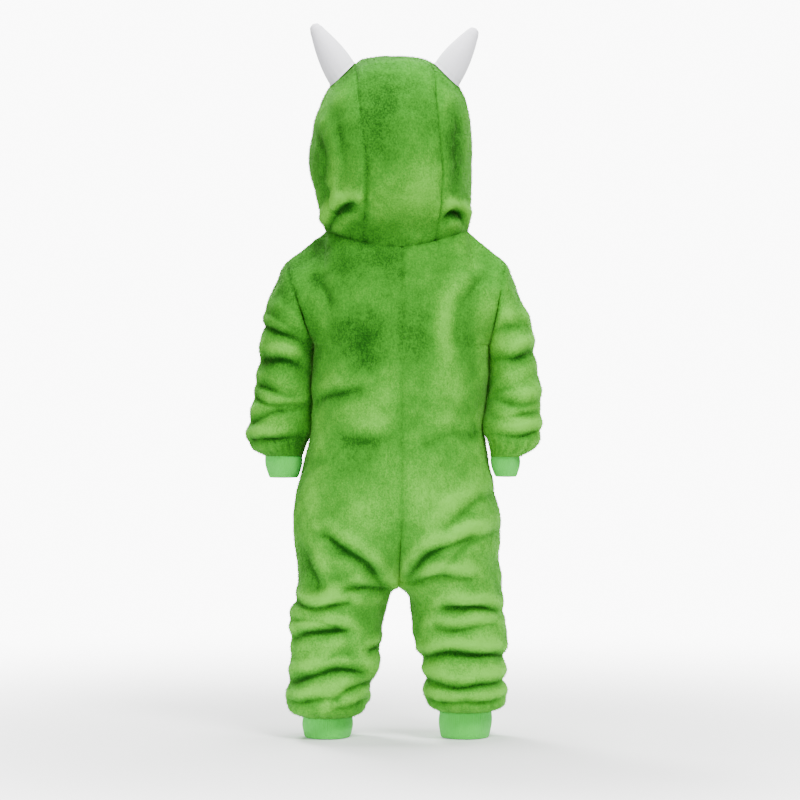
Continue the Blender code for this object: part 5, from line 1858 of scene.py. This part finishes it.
def rounded_copy(node):
    """A merged copy of a CAD node with its edges rounded off."""
    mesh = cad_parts[node].data.copy()
    mesh.materials.clear()
    mesh.materials.append(look("zip_metal"))
    shape = bmesh.new()
    shape.from_mesh(mesh)
    bmesh.ops.remove_doubles(shape, verts=shape.verts, dist=1e-6)
    bmesh.ops.dissolve_limit(shape, angle_limit=0.02, verts=shape.verts, edges=shape.edges)
    shape.to_mesh(mesh)
    shape.free()
    thing = bpy.data.objects.new("work_" + node, mesh)
    bpy.context.scene.collection.objects.link(thing)
    change = thing.modifiers.new("edges", "BEVEL")
    change.width = 0.00025
    change.segments = 2
    change.limit_method = "ANGLE"
    change.use_clamp_overlap = True
    made = plain_copy(thing, node + "_metal")
    made.data.shade_smooth()
    made.data.set_sharp_from_angle(angle=math.radians(40))
    return made


class SUIT_OT_stitching(bpy.types.Operator):
    """Sews the lines that show: down both sides of the zip and round the face opening's hem"""

    bl_idname = "suit.stitching"
    bl_label = "Stitching"

    def execute(self, context):
        pitch = context.scene.plush_suit.stitch_pitch
        lines = []
        for side in (LEFT, RIGHT):
            points, normals, _ = body_panel(side, FRONT)
            rows = (points[:, 0, 2] > ZIP_BOTTOM - 8) & (points[:, 0, 2] < ZIP_TOP)
            lines.append(points[rows, 3] + normals[rows, 3] * 0.1)
            outer, inner, _ = hood_wall("hood_side_" + SIDE_NAMES[side])
            hem = edge_ways(outer)["last_column"]
            column = int(np.argmin(np.abs(hem.mean(axis=0) - HEM_WIDTH)))
            lines.append(outer[:, column])
        outer, inner, _ = hood_wall("hood_center")
        hem = edge_ways(outer)["last_row"]
        row = int(np.argmin(np.abs(hem.mean(axis=1) - HEM_WIDTH)))
        lines.append(outer[row])
        values = {
            "Pitch": pitch,
            "Size": (0.0011, 0.0003, 0.0003),
            "Material": look("green_thread"),
        }
        seams = grown("Stitches", path_mesh("sewn_lines", lines), "seam_stitches", values)
        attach(seams, "garment")
        return {"FINISHED"}


class SUIT_OT_allowances(bpy.types.Operator):
    """Lays the seam allowances inside the centre, neck and armhole seams"""

    bl_idname = "suit.allowances"
    bl_label = "Seam Allowances"

    def execute(self, context):
        strips = {f"centre_allowance_{FACE_NAMES[face]}": centre_allowance(face) for face in (BACK, FRONT)}
        for side in (LEFT, RIGHT):
            strips[f"sleeve_allowance_{SIDE_NAMES[side]}"] = sleeve_allowance(side)
            for face in (BACK, FRONT):
                place = f"{SIDE_NAMES[side]}_{FACE_NAMES[face]}"
                strips["armhole_allowance_" + place] = armhole_allowance(side, face)
                strips["neck_allowance_" + place] = neck_allowance(side, face)
        for name, (outer, inner) in strips.items():
            rows, columns = outer.shape[:2]
            points = np.concatenate([outer.reshape(-1, 3), inner.reshape(-1, 3)])
            strip = finished_mesh(name, points, wall_faces(rows, columns, False), "plush")
            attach(strip, "garment")
        return {"FINISHED"}


class SUIT_OT_stage(bpy.types.Operator):
    """Sets the pale floor, the soft lights and the camera at the photograph's place"""

    bl_idname = "suit.stage"
    bl_label = "Stage"

    def execute(self, context):
        settings = context.scene.plush_suit
        floor = add_floor()
        world = bpy.data.worlds.new("studio")
        context.scene.world = world
        world.use_nodes = True
        tree = world.node_tree
        back = tree.nodes["Background"]
        back.inputs["Color"].default_value = (1.0, 1.0, 1.0, 1.0)
        seen = add_node(tree, "ShaderNodeLightPath").outputs["Is Camera Ray"]
        strength = maths(tree, "MULTIPLY_ADD", seen, BACKGROUND_STRENGTH - WORLD_STRENGTH, WORLD_STRENGTH)
        tree.links.new(strength, back.inputs["Strength"])
        for name, place, size, share in LIGHTS:
            lamp = bpy.data.lights.new(name, "AREA")
            lamp.shape = "DISK"
            lamp.size = size
            lamp.energy = settings.light_power * share
            thing = bpy.data.objects.new(name, lamp)
            thing.location = place
            aim = Vector(AIM) - Vector(place)
            thing.rotation_euler = aim.to_track_quat("-Z", "Y").to_euler()
            context.scene.collection.objects.link(thing)
        camera = bpy.data.cameras.new("camera")
        camera.lens = settings.camera_lens
        camera.sensor_width = 36
        camera.clip_end = 100
        thing = bpy.data.objects.new("camera", camera)
        thing.location = (CAMERA_AIM[0], settings.camera_distance, CAMERA_HEIGHT)
        aim = Vector(CAMERA_AIM) - thing.location
        thing.rotation_euler = aim.to_track_quat("-Z", "Y").to_euler()
        context.scene.collection.objects.link(thing)
        context.scene.camera = thing
        return {"FINISHED"}


def add_floor():
    """A round pale floor that fades out at its rim, so that it has no edge against the pale studio."""
    shape = bmesh.new()
    bmesh.ops.create_circle(shape, cap_ends=True, cap_tris=False, segments=96, radius=FLOOR_RADIUS)
    mesh = bpy.data.meshes.new("floor")
    shape.to_mesh(mesh)
    shape.free()
    for vertex in mesh.vertices:
        vertex.co.z = FLOOR_HEIGHT
    made, tree, shader = new_material("pale_floor")
    set_sockets(shader, {"Base Color": (0.93, 0.93, 0.93, 1.0), "Roughness": 0.9, "Specular IOR Level": 0.1})
    level = stretched(tree, object_place(tree), (1.0, 1.0, 0.0))
    away = add_node(tree, "ShaderNodeVectorMath", {0: level}, operation="LENGTH")
    alpha = spread(tree, away.outputs["Value"], 0.25, FLOOR_RADIUS * 0.95, 1.0, 0.0)
    tree.links.new(alpha, shader.inputs["Alpha"])
    mesh.materials.append(made)
    thing = bpy.data.objects.new("floor", mesh)
    bpy.context.scene.collection.objects.link(thing)
    return thing


class SUIT_PT_panel(bpy.types.Panel):
    """Lists the suit's pieces and sizes"""

    bl_idname = "SUIT_PT_panel"
    bl_label = "Plush Suit"
    bl_space_type = "VIEW_3D"
    bl_region_type = "UI"
    bl_category = "Plush Suit"

    def draw(self, context):
        column = self.layout.column()
        for step in STEPS:
            column.operator(step.bl_idname)
        for name in SuitSettings.__annotations__:
            column.prop(context.scene.plush_suit, name)


STEPS = (
    SUIT_OT_prepare,
    SUIT_OT_body,
    SUIT_OT_sleeves,
    SUIT_OT_hood,
    SUIT_OT_cuffs,
    SUIT_OT_horns,
    SUIT_OT_zip,
    SUIT_OT_stitching,
    SUIT_OT_allowances,
    SUIT_OT_stage,
)
CLASSES = (SuitSettings, *STEPS, SUIT_PT_panel)


def register():
    """Makes the operators, the panel and the settings known to Blender."""
    for made in CLASSES:
        bpy.utils.register_class(made)
    bpy.types.Scene.plush_suit = bpy.props.PointerProperty(type=SuitSettings)


def unregister():
    """Takes them out again."""
    del bpy.types.Scene.plush_suit
    for made in reversed(CLASSES):
        bpy.utils.unregister_class(made)


def main():
    """Builds the suit and its stage piece by piece."""
    register()
    bpy.ops.suit.prepare()
    bpy.ops.suit.body()
    bpy.ops.suit.sleeves()
    bpy.ops.suit.hood()
    bpy.ops.suit.cuffs()
    bpy.ops.suit.horns()
    bpy.ops.suit.zip()
    bpy.ops.suit.stitching()
    bpy.ops.suit.allowances()
    bpy.ops.suit.stage()


if __name__ == "__main__":
    main()
